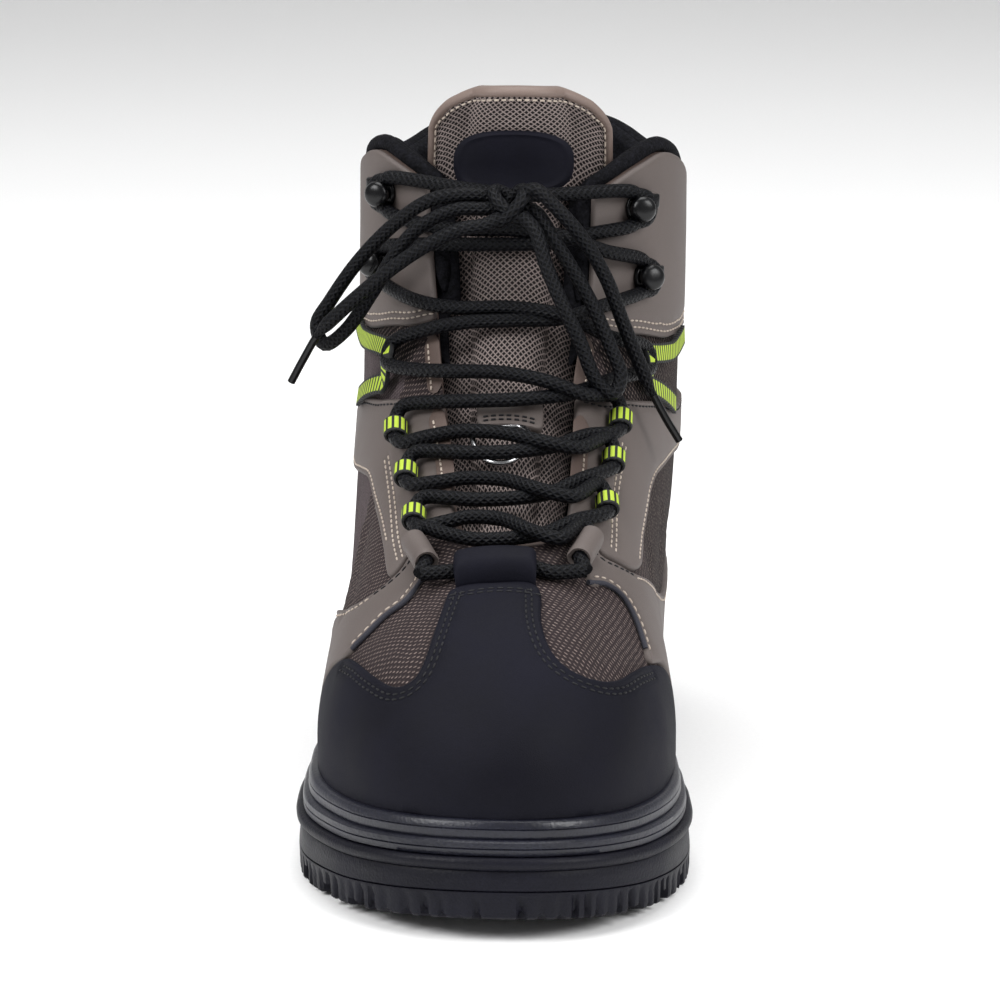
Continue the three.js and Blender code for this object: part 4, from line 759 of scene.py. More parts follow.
class Wiring:
    """A material's nodes, added by what they do."""

    def __init__(self, material: bpy.types.Material) -> None:
        """Starts from the material's own shader."""
        material.use_nodes = True
        self.tree = material.node_tree
        self.shader = self.tree.nodes["Principled BSDF"]

    def node(self, kind: str, inputs: dict, **settings: object) -> bpy.types.Node:
        """Adds a node.

        Args:
            kind: Its type.
            inputs: Values or sockets for its inputs, by name or number.
            settings: Its properties.

        Returns:
            The node.
        """
        made = self.tree.nodes.new("ShaderNode" + kind)
        for key, value in settings.items():
            setattr(made, key, value)
        for key, value in inputs.items():
            if isinstance(value, bpy.types.NodeSocket):
                self.tree.links.new(value, made.inputs[key])
            else:
                made.inputs[key].default_value = value
        return made

    def place(self, kind: str) -> Value:
        """Places on the piece: Object in metres, or UV as its mesh has it."""
        return self.node("TexCoord", {}).outputs[kind]

    def noise(self, place: Value, scale: float, detail: float, output: str = "Fac") -> Value:
        """Noise over places."""
        return self.node("TexNoise", {"Vector": place, "Scale": scale, "Detail": detail}).outputs[output]

    def split(self, place: Value) -> tuple[Value, Value]:
        """The first two parts of a place."""
        parts = self.node("SeparateXYZ", {"Vector": place}).outputs
        return parts["X"], parts["Y"]

    def moved(self, place: Value, by: Value) -> Value:
        """A place moved by another."""
        return self.node("VectorMath", {0: place, 1: by}, operation="ADD").outputs[0]

    def maths(self, operation: str, *values: Value) -> Value:
        """One calculation with its values."""
        return self.node("Math", dict(enumerate(values)), operation=operation).outputs[0]

    def wave(self, value: Value, pitch: float) -> Value:
        """A sine that crosses nought at every pitch."""
        return self.maths("SINE", self.maths("MULTIPLY", value, math.pi / pitch))

    def ramp(self, value: Value, reach: tuple[float, float], to: tuple[float, float] = (0.0, 1.0),
             soft: bool = False) -> Value:
        """Maps one range of values to another.

        Args:
            value: The value.
            reach: The range that it is read over.
            to: What that range becomes.
            soft: True to ease both ends.

        Returns:
            The mapped value.
        """
        inputs = {"Value": value, "From Min": reach[0], "From Max": reach[1], "To Min": to[0],
                  "To Max": to[1]}
        kind = "SMOOTHSTEP" if soft else "LINEAR"
        return self.node("MapRange", inputs, interpolation_type=kind).outputs[0]

    def paint(self, share: Value, first: str, second: str) -> None:
        """Sets the colour: the first where the share is 0, the second where it is 1."""
        inputs = {"Factor": share, "A": linear(first), "B": linear(second)}
        mixed = self.node("Mix", inputs, data_type="RGBA").outputs["Result"]
        self.tree.links.new(mixed, self.shader.inputs["Base Color"])

    def bump(self, height: Value, strength: float, distance: float) -> None:
        """Sets the relief, with its distance in millimetres."""
        made = self.node("Bump", {"Height": height, "Strength": strength, "Distance": distance * MM})
        self.tree.links.new(made.outputs["Normal"], self.shader.inputs["Normal"])

    def surface(self, roughness: Value, gloss: float | None = None) -> None:
        """Sets how rough the surface is, and how much of the light it mirrors."""
        if isinstance(roughness, bpy.types.NodeSocket):
            self.tree.links.new(roughness, self.shader.inputs["Roughness"])
        else:
            self.shader.inputs["Roughness"].default_value = roughness
        if gloss is not None:
            self.shader.inputs["Specular IOR Level"].default_value = gloss


@dataclass(frozen=True)
class Finish:
    """A finish that makes its material once."""

    name: str

    def dress(self, wiring: Wiring) -> None:
        """Adds the finish's nodes."""
        raise NotImplementedError

    def material(self) -> bpy.types.Material:
        """The material, made when it is first asked for."""
        found = bpy.data.materials.get(self.name)
        if found:
            return found
        made = bpy.data.materials.new(self.name)
        self.dress(Wiring(made))
        return made


@dataclass(frozen=True)
class Grained(Finish):
    """A coated or moulded skin with a fine grain: coated leather, rubber, moulded nylon."""

    colour: str
    worn: str
    grain: float = 0.7
    depth: float = 0.12
    roughness: float = 0.6
    patch: float = 25.0
    gloss: float = 0.3

    def dress(self, wiring: Wiring) -> None:
        """Tone in soft patches, and pebbles in the size of the grain."""
        place = wiring.place("Object")
        tone = wiring.noise(place, 1000 / self.patch, 4.0)
        # Grit of the coating, half as large as the grain.
        grit = wiring.noise(place, 1000 / (self.grain * 0.5), 3.0)
        share = wiring.ramp(wiring.maths("MULTIPLY", tone, grit), (0.14, 0.42))
        wiring.paint(share, self.colour, self.worn)
        pebble = wiring.node("TexVoronoi", {"Vector": place, "Scale": 1000 / self.grain}).outputs["Distance"]
        wiring.bump(wiring.maths("ADD", pebble, grit), 0.5, self.depth)
        rough = wiring.ramp(tone, (0.3, 0.7), (self.roughness - 0.06, self.roughness + 0.08))
        wiring.surface(rough, self.gloss)


@dataclass(frozen=True)
class OpenMesh(Finish):
    """Spacer mesh: light strands in diamonds over a dark ground. Its UV map is in millimetres."""

    strand: str
    ground: str
    cell: float
    thickness: float
    lift: float = 0.5

    def dress(self, wiring: Wiring) -> None:
        """Two sets of slanting strands, with a tone that changes at random."""
        place = wiring.place("UV")
        # Threads aren't laid quite evenly: a slow noise moves them.
        wobble = wiring.noise(place, 0.35 / self.cell, 1.0, "Color")
        across, along = wiring.split(wiring.moved(place, wobble))
        sets = [wiring.maths("ABSOLUTE", wiring.wave(wiring.maths(way, across, along), self.cell))
                for way in ("ADD", "SUBTRACT")]
        near = wiring.maths("MINIMUM", *sets)
        strand = wiring.ramp(near, (self.thickness, self.thickness + 0.3), (1.0, 0.0), soft=True)
        tint = wiring.ramp(wiring.noise(place, 2.2, 2.0), (0.3, 0.7), (0.55, 1.0))
        share = wiring.maths("MULTIPLY", strand, tint)
        wiring.paint(share, self.ground, self.strand)
        wiring.bump(share, 0.9, self.lift)
        wiring.surface(0.85, 0.2)


@dataclass(frozen=True)
class DottedKnit(Finish):
    """Close knit with a light loop showing at every stitch. Its UV map is in millimetres."""

    loop: str
    ground: str
    pitch: float
    row: float
    density: float = 0.35
    slant: float = 0.0

    def dress(self, wiring: Wiring) -> None:
        """Loops in staggered rows, with a tone that changes from patch to patch."""
        place = wiring.place("UV")
        turn = (0, 0, math.radians(self.slant))
        turned = wiring.node("Mapping", {"Vector": place, "Rotation": turn}).outputs[0]
        wobble = wiring.noise(place, 0.3 / self.pitch, 1.0, "Color")
        across, along = wiring.split(wiring.moved(turned, wobble))
        both = wiring.maths("MULTIPLY", wiring.wave(across, self.pitch), wiring.wave(along, self.row))
        dot = wiring.ramp(both, (self.density, self.density + 0.4), soft=True)
        tint = wiring.ramp(wiring.noise(place, 1.1, 3.0), (0.35, 0.65), (0.25, 1.0))
        wiring.paint(wiring.maths("MULTIPLY", dot, tint), self.ground, self.loop)
        wiring.bump(both, 0.6, 0.3)
        wiring.surface(0.9, 0.15)


@dataclass(frozen=True)
class Braid(Finish):
    """Round braided cord. Its UV map is turns round the cord and millimetres along it."""

    colour: str
    # Painted highlight: the colour laid on the strands' crowns; the grooves keep the darker colour as painted
    # shade.
    light: str
    strands: int = 7
    pitch: float = 2.3

    def dress(self, wiring: Wiring) -> None:
        """Two sets of strands that wind opposite ways and pass over each other, with a painted highlight on
        their crowns and painted shade in the grooves between them.
        """
        turns, length = wiring.split(wiring.place("UV"))
        along = wiring.maths("MULTIPLY", length, 2 * math.pi / self.pitch)
        round_ = wiring.maths("MULTIPLY", turns, 2 * math.pi * self.strands)
        sets = [wiring.maths("SINE", wiring.maths(way, along, round_)) for way in ("ADD", "SUBTRACT")]
        top = wiring.maths("MAXIMUM", *sets)
        # Painted highlight and shade: the crowns of the strands are lighter and the grooves between them
        # darker, as light falls on the relief.
        wiring.paint(wiring.ramp(top, (0.1, 1.0)), self.colour, self.light)
        wiring.bump(top, 0.8, 0.25)
        wiring.surface(0.5, 0.14)


@dataclass(frozen=True)
class Barred(Finish):
    """Webbing with bright bars between dark edges. Its UV map is the share across, and millimetres."""

    bar: str
    dark: str
    pitch: float = 2.3
    edge: float = 0.14

    def dress(self, wiring: Wiring) -> None:
        """Bars with a dark thread between them, kept off the webbing's edges."""
        across, along = wiring.split(wiring.place("UV"))
        ridge = wiring.maths("ABSOLUTE", wiring.wave(along, self.pitch))
        bars = wiring.ramp(ridge, (0.52, 0.66), soft=True)
        off = wiring.maths("ABSOLUTE", wiring.maths("SUBTRACT", across, 0.5))
        inner = wiring.ramp(off, (0.5 - self.edge, 0.53 - self.edge), (1.0, 0.0))
        wiring.paint(wiring.maths("MULTIPLY", bars, inner), self.dark, self.bar)
        wiring.bump(ridge, 0.7, 0.3)
        wiring.surface(0.75)


@dataclass(frozen=True)
class Metal(Finish):
    """Polished steel wire, with the faint smears of handling."""

    colour: str = "#a9a9ab"

    def dress(self, wiring: Wiring) -> None:
        """Bright metal with faint smears."""
        smear = wiring.noise(wiring.place("Object"), 400.0, 2.0)
        wiring.surface(wiring.ramp(smear, (0.0, 1.0), (0.12, 0.3)))
        wiring.shader.inputs["Base Color"].default_value = linear(self.colour)
        wiring.shader.inputs["Metallic"].default_value = 1.0


CAP_RUBBER = Grained("rubber-coated microfibre", "#0c0c14", "#15151f", grain=0.5, depth=0.08, roughness=0.66,
                     gloss=0.1)
SOLE_RUBBER = Grained("moulded outsole rubber", "#0a0a12", "#15151f", grain=0.9, depth=0.16, roughness=0.48,
                      gloss=0.16)
RAND_RUBBER = Grained("rand rubber", "#0f1019", "#1f202d", grain=1.2, depth=0.14, roughness=0.36, gloss=0.42)
TAUPE_LEATHER = Grained("coated taupe leather", "#544c49", "#5f5754", grain=0.45, depth=0.05, roughness=0.6)
BINDING_LEATHER = Grained("taupe binding leather", "#6b5c55", "#7a6b64", grain=0.45, depth=0.05,
                          roughness=0.5)
FACING_LEATHER = Grained("brown facing leather", "#4f423d", "#5f514b", grain=0.5, depth=0.05, roughness=0.55)
GREY_PIPING = Grained("grey felt piping", "#2b2b32", "#3d3d45", grain=0.6, depth=0.15, roughness=0.9)
LINING_KNIT = Grained("black knit lining", "#08080a", "#1b1b20", grain=1.3, depth=0.7, roughness=0.92,
                      patch=2.0, gloss=0.1)
NYLON = Grained("moulded black nylon", "#060607", "#0c0c0f", grain=2.0, depth=0.01, roughness=0.25)
LIGHT_THREAD = Grained("light taupe thread", "#a4978b", "#bfb3a7", grain=0.4, depth=0.1, roughness=0.7)
DARK_THREAD = Grained("black thread", "#0b0b0e", "#1b1b20", grain=0.4, depth=0.1, roughness=0.6)
TONGUE_MESH = OpenMesh("taupe spacer mesh", "#9f918d", "#151112", cell=2.2, thickness=0.3)
VAMP_MESH = DottedKnit("brown vamp knit", "#81736e", "#2c2526", pitch=1.8, row=0.8, slant=18)
SIDE_MESH = DottedKnit("dark side knit", "#867872", "#1b1617", pitch=1.8, row=0.9, slant=8)
SIDE_CLOTH = DottedKnit("grey-brown side cloth", "#6b6061", "#40383a", pitch=1.6, row=0.7, density=0.1)
# The lace's second colour is a painted highlight on the braid's crowns.
LACE_BRAID = Braid("black braided cord", "#020203", "#0c0d12")
WEBBING = Barred("green-barred webbing", "#a2b932", "#08090b")
STEEL = Metal("polished steel wire")


# Panels cut to a pattern

class Chart(Enum):
    """How a panel is laid out flat."""

    SIDE = "round the last from the ridge"
    TOE = "as a fan from the toe tip"
    HEEL = "round the last from the heel"


@dataclass(frozen=True)
class Layout:
    """Places on the last as flat points in about millimetres, and back."""

    chart: Chart
    spread: float = 0.95

    def lengths(self) -> tuple[np.ndarray, np.ndarray]:
        """Sections and how far along the last they lie."""
        sections = np.concatenate([np.geomspace(1e-5, 0.3, 60)[:-1], np.linspace(0.3, 17, 500)])
        angles = [0.0] if self.chart is Chart.TOE else [0.0, 90.0, 150.0]
        runs = []
        for angle in angles:
            line = LAST.base(sections, angle)
            runs.append(np.concatenate([[0], np.cumsum(np.linalg.norm(np.diff(line, axis=0), axis=1))]))
        return sections, np.mean(runs, axis=0)

    def flat(self, section: np.ndarray, around: np.ndarray) -> np.ndarray:
        """Flat points of places on the last."""
        sections, runs = self.lengths()
        run = np.interp(section, sections, runs)
        around = np.asarray(around, float)
        if self.chart is Chart.TOE:
            turn = np.radians(around)
            return np.stack([run * np.sin(turn), run * np.cos(turn)], -1)
        if self.chart is Chart.HEEL:
            around = np.where(around > 0, around - 180, around + 180)
        return np.stack([around * self.spread, run], -1)

    def place(self, flat: np.ndarray) -> tuple[np.ndarray, np.ndarray]:
        """Section and angle of flat points."""
        sections, runs = self.lengths()
        if self.chart is Chart.TOE:
            run = np.hypot(flat[..., 0], flat[..., 1])
            around = np.degrees(np.arctan2(flat[..., 0], flat[..., 1]))
            return np.maximum(np.interp(run, runs, sections), 1e-4), around
        around = flat[..., 0] / self.spread
        if self.chart is Chart.HEEL:
            around = np.where(around > 0, around - 180, around + 180)
        return np.interp(flat[..., 1], runs, sections), around


def outline_field(points: np.ndarray, outline: np.ndarray) -> np.ndarray:
    """How far flat points lie inside an outline, negative outside it."""
    shape = points.shape[:-1]
    p = points.reshape(-1, 2)
    a, b = outline, np.roll(outline, -1, axis=0)
    best = np.full(len(p), np.inf)
    inside = np.zeros(len(p), bool)
    for (ax, ay), (bx, by) in zip(a, b):
        dx, dy = bx - ax, by - ay
        t = np.clip(((p[:, 0] - ax) * dx + (p[:, 1] - ay) * dy) / max(dx * dx + dy * dy, 1e-12), 0, 1)
        best = np.minimum(best, np.hypot(p[:, 0] - ax - t * dx, p[:, 1] - ay - t * dy))
        if ay != by:
            crosses = ((ay > p[:, 1]) != (by > p[:, 1])) & (p[:, 0] < dx * (p[:, 1] - ay) / dy + ax)
            inside ^= crosses
    return np.where(inside, best, -best).reshape(shape)


def zero_loops(field: np.ndarray, xs: np.ndarray, ys: np.ndarray) -> list[np.ndarray]:
    """The closed lines where a field on a grid is zero.

    Args:
        field: Values, a row for each y.
        xs: The grid's x values.
        ys: The grid's y values.

    Returns:
        The loops' points, longest loop first.
    """
    field = field.copy()
    field[[0, -1], :] = field[:, [0, -1]] = -1.0
    links: dict[tuple, list[tuple]] = {}
    signs = field > 0
    mixed = (signs[:-1, :-1].astype(int) + signs[1:, :-1] + signs[:-1, 1:] + signs[1:, 1:])
    for j, i in zip(*np.nonzero((mixed > 0) & (mixed < 4))):
        corners = [(j, i), (j, i + 1), (j + 1, i + 1), (j + 1, i)]
        hits = []
        for c, d in zip(corners, corners[1:] + corners[:1]):
            if signs[c] != signs[d]:
                hits.append((min(c, d), max(c, d)))
        for a, b in zip(hits[::2], hits[1::2]):
            links.setdefault(a, []).append(b)
            links.setdefault(b, []).append(a)

    def crossing(edge: tuple) -> tuple[float, float]:
        """Where the field is zero on a grid edge."""
        (j0, i0), (j1, i1) = edge
        t = field[j0, i0] / (field[j0, i0] - field[j1, i1])
        return xs[i0] + (xs[i1] - xs[i0]) * t, ys[j0] + (ys[j1] - ys[j0]) * t

    loops = []
    left = set(links)
    while left:
        start = left.pop()
        loop, previous, current = [start], None, start
        while True:
            options = [e for e in links[current] if e != previous and (e in left or e == start)]
            if not options or (options[0] == start and len(loop) > 2):
                break
            previous, current = current, options[0]
            if current == start:
                break
            left.discard(current)
            loop.append(current)
        loops.append(np.array([crossing(e) for e in loop]))
    return sorted(loops, key=len, reverse=True)


@dataclass(frozen=True)
class Seam:
    """A line of stitches: the edge that it follows and how far it lies from it, row by row."""

    edge: Pairs
    insets: tuple[float, ...]
    thread: Finish = LIGHT_THREAD
    pitch: float = 2.9

    def lines(self) -> list[tuple[np.ndarray, np.ndarray, np.ndarray]]:
        """Each row's points on the bare last, with their sections and angles."""
        knots = np.array([(around / 10, section) for section, around in self.edge])
        fine = smooth_curve(knots, 0.03)
        section, around = fine[:, 1], fine[:, 0] * 10
        made = []
        for inset in self.insets:
            line = LAST.base(section, around)
            along = unit(np.gradient(line, axis=0))
            normal = LAST.normal(section, around)
            moved = line + np.cross(normal, along) * inset
            ds = (LAST.base(section + 0.01, around) - line) / 0.01
            da = (LAST.base(section, around + 0.1) - line) / 0.1
            step = moved - line
            gram = np.stack([np.stack([(ds * ds).sum(-1), (ds * da).sum(-1)], -1),
                             np.stack([(ds * da).sum(-1), (da * da).sum(-1)], -1)], -2)
            right = np.stack([(ds * step).sum(-1), (da * step).sum(-1)], -1)
            change = np.linalg.solve(gram, right[..., None])[..., 0]
            s, a = section + change[:, 0], around + change[:, 1]
            made.append((LAST.base(s, a), s, a))
        return made


@dataclass
class Patch:
    """A panel of even thickness on the last, with rounded edges and sunk stitch lines."""

    name: str
    chart: Chart
    field: Callable[[np.ndarray, np.ndarray], np.ndarray]
    low: float = 0.0
    high: float = OVERLAY + CLEARANCE
    edge: float = 1.3
    lip: float = 0.5
    seams: tuple[Seam, ...] = ()
    spacing: float = 2.4
    soft: bool = False
    groove: float = 0.45

    def loops(self, layout: Layout) -> list[np.ndarray]:
        """The panel's outlines as flat points, about a millimetre apart."""
        if self.chart is Chart.TOE:
            xs, ys = np.arange(-150, 150, 1.5), np.arange(-40, 150, 1.5)
        else:
            xs, ys = np.arange(-171, 172, 1.5), np.arange(2, layout.lengths()[1][-1], 1.5)
        flat = np.stack(np.meshgrid(xs, ys), -1)
        section, around = layout.place(flat)
        field = self.field(flat, LAST.base(section, around))
        found = [loop for loop in zero_loops(field, xs, ys) if len(loop) > 12]
        return [even(np.concatenate([loop, loop[:1]]), 1.3, closed=True) for loop in found]

    def build(self) -> bpy.types.Object:
        """Lays out the panel's points, joins them and sets them on the last.

        Returns:
            The panel.
        """
        layout = Layout(self.chart)
        loops = [self.soften(loop) for loop in self.loops(layout)]
        lift = np.concatenate([LAST.base(*layout.place(loop)) for loop in loops])
        seam_lines = [line for seam in self.seams for line, _, _ in seam.lines()]
        seam_points = np.concatenate(seam_lines) if seam_lines else np.zeros((0, 3))
        flat = list(np.concatenate(loops))
        edges, first = [], 0
        for loop in loops:
            edges += [(first + k, first + (k + 1) % len(loop)) for k in range(len(loop))]
            first += len(loop)
        rows = []
        for inward in (0.3 * self.edge, 0.65 * self.edge, self.edge, 1.5 * self.edge):
            for loop in loops:
                rows.append((self.moved(layout, loop, inward), inward * 0.9))
        for seam in self.seams:
            for _, section, around in seam.lines():
                line = layout.flat(section, around)
                thin = line[::2] if len(line) > 8 else line
                for inward in (-0.9, 0.0, 0.9):
                    rows.append((self.moved(layout, thin, inward), 0.8))
        lo, hi = np.min(flat, axis=0), np.max(flat, axis=0)
        step = self.spacing
        gx, gy = np.meshgrid(np.arange(lo[0], hi[0], step), np.arange(lo[1], hi[1], step * 0.866))
        gx = gx + (np.arange(len(gx)) % 2 * step / 2)[:, None]
        rows.append((np.stack([gx.ravel(), gy.ravel()], -1), step * 0.8))
        kept = list(lift)
        for points, margin in rows:
            if not len(points):
                continue
            place = LAST.base(*layout.place(points))
            inside = np.zeros(len(points), bool)
            for loop in loops:
                inside ^= outline_field(points, loop) > 0
            far = self.distance(place, lift) > margin
            for point, at in zip(points[inside & far], place[inside & far]):
                flat.append(point)
                kept.append(at)
        flat_array, place_array = np.array(flat), np.array(kept)
        chosen = self.thinned(place_array, len(lift))
        points2 = [Vector(p) for p in flat_array[chosen]]
        vertices, _, faces, *_ = delaunay_2d_cdt(points2, edges, [], 0, 1e-5)
        flat_array = np.array([tuple(v) for v in vertices])
        tri = np.array([f for f in faces if len(f) == 3])
        centres = flat_array[tri].mean(axis=1)
        inside = np.zeros(len(tri), bool)
        for loop in loops:
            inside ^= outline_field(centres, loop) > 0
        tri = tri[inside]
        used, tri = np.unique(tri, return_inverse=True)
        tri = tri.reshape(-1, 3)
        flat_array = flat_array[used]
        return self.solid(layout, flat_array, tri, lift, seam_points)

    def solid(self, layout: Layout, flat: np.ndarray, tri: np.ndarray, rim: np.ndarray,
              seam_points: np.ndarray) -> bpy.types.Object:
        """Closes a flat pattern into a solid on the last.

        Args:
            layout: How the pattern lies.
            flat: Its points.
            tri: Its triangles.
            rim: Points of its edge on the bare last.
            seam_points: Points of its stitch lines there.

        Returns:
            The panel.
        """
        section, around = layout.place(flat)
        bare = LAST.base(section, around)
        normal = LAST.normal(section, around)
        inward = self.distance(bare, rim)
        opened = np.sqrt(np.clip(1 - (1 - np.clip(inward / self.edge, 0, 1)) ** 2, 0, 1))
        relief = LAST.relief(bare)
        thick = self.high - self.low
        if self.soft:
            middle = (self.high + self.low) / 2
            swell = 1 + 0.35 * np.exp(-(((inward - self.edge) / (0.8 * self.edge)) ** 2))
            half = thick / 2 * (0.12 + 0.88 * opened)
            top, bottom = middle + half, middle - half * swell
        else:
            top = self.low + thick * (self.lip + (1 - self.lip) * opened)
            bottom = np.full(len(flat), self.low)
        if len(seam_points):
            near = self.distance(bare, seam_points)
            top = top - self.groove * np.exp(-((near / 0.75) ** 2))
        count = len(flat)
        points = np.concatenate([bare + normal * (top + relief)[:, None],
                                 bare + normal * (bottom + relief)[:, None]])
        faces = [tuple(t) for t in tri] + [(c + count, b + count, a + count) for a, b, c in tri]
        seen: dict[tuple[int, int], tuple[int, int]] = {}
        for a, b, c in tri:
            for p, q in ((a, b), (b, c), (c, a)):
                if (q, p) in seen:
                    del seen[(q, p)]
                else:
                    seen[(p, q)] = (p, q)
        faces += [(q, p, p + count, q + count) for p, q in seen]
        obj = plain_mesh(self.name, points, faces)
        in_edit(obj, lambda: bpy.ops.mesh.normals_make_consistent(inside=False))
        smooth(obj, 50)
        return obj

    def soften(self, loop: np.ndarray) -> np.ndarray:
        """Takes the grid's small steps out of a loop."""
        for _ in range(2):
            loop = (np.roll(loop, 1, axis=0) + 2 * loop + np.roll(loop, -1, axis=0)) / 4
        return loop

    def moved(self, layout: Layout, line: np.ndarray, inward: float) -> np.ndarray:
        """A flat line moved sideways by a distance on the last, to both sides of it."""
        if inward == 0:
            return line
        along = unit(np.roll(line, -1, axis=0) - np.roll(line, 1, axis=0))
        side = np.stack([-along[:, 1], along[:, 0]], -1)
        at = LAST.base(*layout.place(line))
        scale = np.linalg.norm(LAST.base(*layout.place(line + side * 0.2)) - at, axis=1, keepdims=True) / 0.2
        step = side * inward / np.maximum(scale, 0.2)
        return np.concatenate([line + step, line - step])

    @staticmethod
    def distance(points: np.ndarray, others: np.ndarray) -> np.ndarray:
        """Distance from each point to the nearest of others."""
        best = np.full(len(points), np.inf)
        for k in range(0, len(others), 200):
            part = others[k:k + 200]
            best = np.minimum(best, np.linalg.norm(points[:, None] - part[None], axis=-1).min(axis=1))
        return best

    def thinned(self, places: np.ndarray, fixed: int) -> np.ndarray:
        """Which points stay: the rim's, and no other within a third of a millimetre of an earlier one."""
        cell = 0.55
        taken: dict[tuple, list[int]] = {}
        kept = []
        for k, p in enumerate(places):
            key = tuple(np.floor(p / cell).astype(int))
            near = [i for dx in (-1, 0, 1) for dy in (-1, 0, 1) for dz in (-1, 0, 1)
                    for i in taken.get((key[0] + dx, key[1] + dy, key[2] + dz), ())]
            if k < fixed or all(np.abs(places[i] - p).sum() > cell for i in near):
                kept.append(k)
                taken.setdefault(key, []).append(k)
        return np.array(kept)


def pattern(outline: Pairs, layout: Layout) -> np.ndarray:
    """A panel's outline as flat points on a smooth curve."""
    knots = np.array([(around / 10, section) for section, around in outline])
    fine = smooth_curve(knots, 0.05, closed=True)
    return layout.flat(np.maximum(fine[:, 1], 0.002), fine[:, 0] * 10)


def kept_off(rows: Pairs, by: float = 0.09) -> list[tuple[float, float]]:
    """An edge moved along the last by a part of a section."""
    return [(section + by, around) for section, around in rows]


def stitches(name: str, seams: Sequence[Seam], inside: Callable[[np.ndarray], np.ndarray], top: float,
             thread: Finish) -> bpy.types.Object | None:
    """Rows of stitches as one mesh: a stitch is modelled once and copied along the rows.

    Args:
        name: The object's name.
        seams: The seams.
        inside: Tells which points on the last carry stitches.
        top: Height of the panel's face over the last.
        thread: Their thread.

    Returns:
        The stitches, or None where there is no room for one.
    """
    leave_edit()
    bpy.ops.mesh.primitive_uv_sphere_add(segments=8, ring_count=6, radius=1)
    one = bpy.context.object
    points = np.array([tuple(v.co) for v in one.data.vertices])
    faces = [list(p.vertices) for p in one.data.polygons]
    bpy.data.objects.remove(one, do_unlink=True)
    flatter = np.sign(points) * np.abs(points) ** 0.8
    all_points, all_faces = [], []
    for seam in seams:
        for line, section, around in seam.lines():
            run = np.concatenate([[0], np.cumsum(np.linalg.norm(np.diff(line, axis=0), axis=1))])
            at = np.arange(seam.pitch / 2, run[-1], seam.pitch)
            s, a = np.interp(at, run, section), np.interp(at, run, around)
            middle = LAST.base(s, a)
            ahead = LAST.base(np.interp(at + 0.3, run, section), np.interp(at + 0.3, run, around))
            along = unit(ahead - middle)
            normal = LAST.normal(s, a)
            across = np.cross(normal, along)
            good = inside(middle)
            relief = LAST.relief(middle)
            for k in np.nonzero(good)[0]:
                centre = middle[k] + normal[k] * (top - 0.32 + relief[k])
                shape = (flatter[:, :1] * along[k] * seam.pitch * 0.36 + flatter[:, 1:2] * across[k] * 0.34
                         + flatter[:, 2:] * normal[k] * 0.34)
                offset = len(all_points) * len(points)
                all_points.append(centre + shape)
                all_faces += [[i + offset for i in f] for f in faces]
    if not all_points:
        return None
    obj = plain_mesh(name, np.concatenate(all_points), all_faces)
    smooth(obj, 80)
    return finish_piece(obj, thread)


def thread_rows(name: str, rows: Sequence[tuple[np.ndarray, np.ndarray]], pitch: float,
                thread: Finish) -> bpy.types.Object:
    """Stitches along free lines.

    Args:
        name: The object's name.
        rows: Points and outward directions of each row.
        pitch: Distance from stitch to stitch.
        thread: Their thread.

    Returns:
        The stitches.
    """
    made = []
    for line, outward in rows:
        line = smooth_curve(line, 0.5)
        at = np.linspace(0, 1, len(outward))
        run = np.linspace(0, 1, len(line))
        out = unit(np.stack([np.interp(run, at, outward[:, k]) for k in range(3)], -1))
        step = max(int(round(pitch / 0.5)), 2)
        for k in range(0, len(line) - step, step):
            part = line[k:k + step - 1] + out[k:k + step - 1] * 0.12
            if len(part) > 2:
                made.append(tube("stitch", part, 0.34, sides=6))
    return finish_piece(join(name, made), thread)


def form_solid(name: str, depth: float, columns: int = 150, rows: int = 110) -> bpy.types.Object:
    """The whole form at a depth as a closed mesh.

    Args:
        name: The object's name.
        depth: Depth outside the last.
        columns: Faces round it.
        rows: Faces along it.

    Returns:
        The mesh.
    """
    sections, runs = Layout(Chart.SIDE).lengths()

    def place(u: np.ndarray, v: np.ndarray) -> np.ndarray:
        """Points of the form."""
        section = np.interp(v * runs[-1], runs, sections)
        bare = LAST.base(section, -180 + 360 * u)
        relief = LAST.relief(bare)
        return bare + LAST.normal(np.maximum(section, 0.003), -180 + 360 * u) * (depth + relief)[:, None]

    obj = grid(name, columns, rows, place)
    weld(obj, 0.05)
    return obj


def under(height: Callable[[np.ndarray], np.ndarray], low: float = -20.0) -> bpy.types.Object:
    """A cutter for all that lies under a height along the sole."""
    along = np.linspace(0, 1, 60)
    top = np.stack([LAST.y_of(along), height(along)], -1)
    top = np.concatenate([[[LAST.heel + 20, top[0, 1]]], top, [[top[-1, 0] - 20, top[-1, 1]]]])
    floor = np.array([[top[-1, 0], low], [top[0, 0], low]])
    return prism(np.concatenate([top, floor]), (1, 2, 0), -LAST.width, LAST.width)


# The boot's sub-assemblies

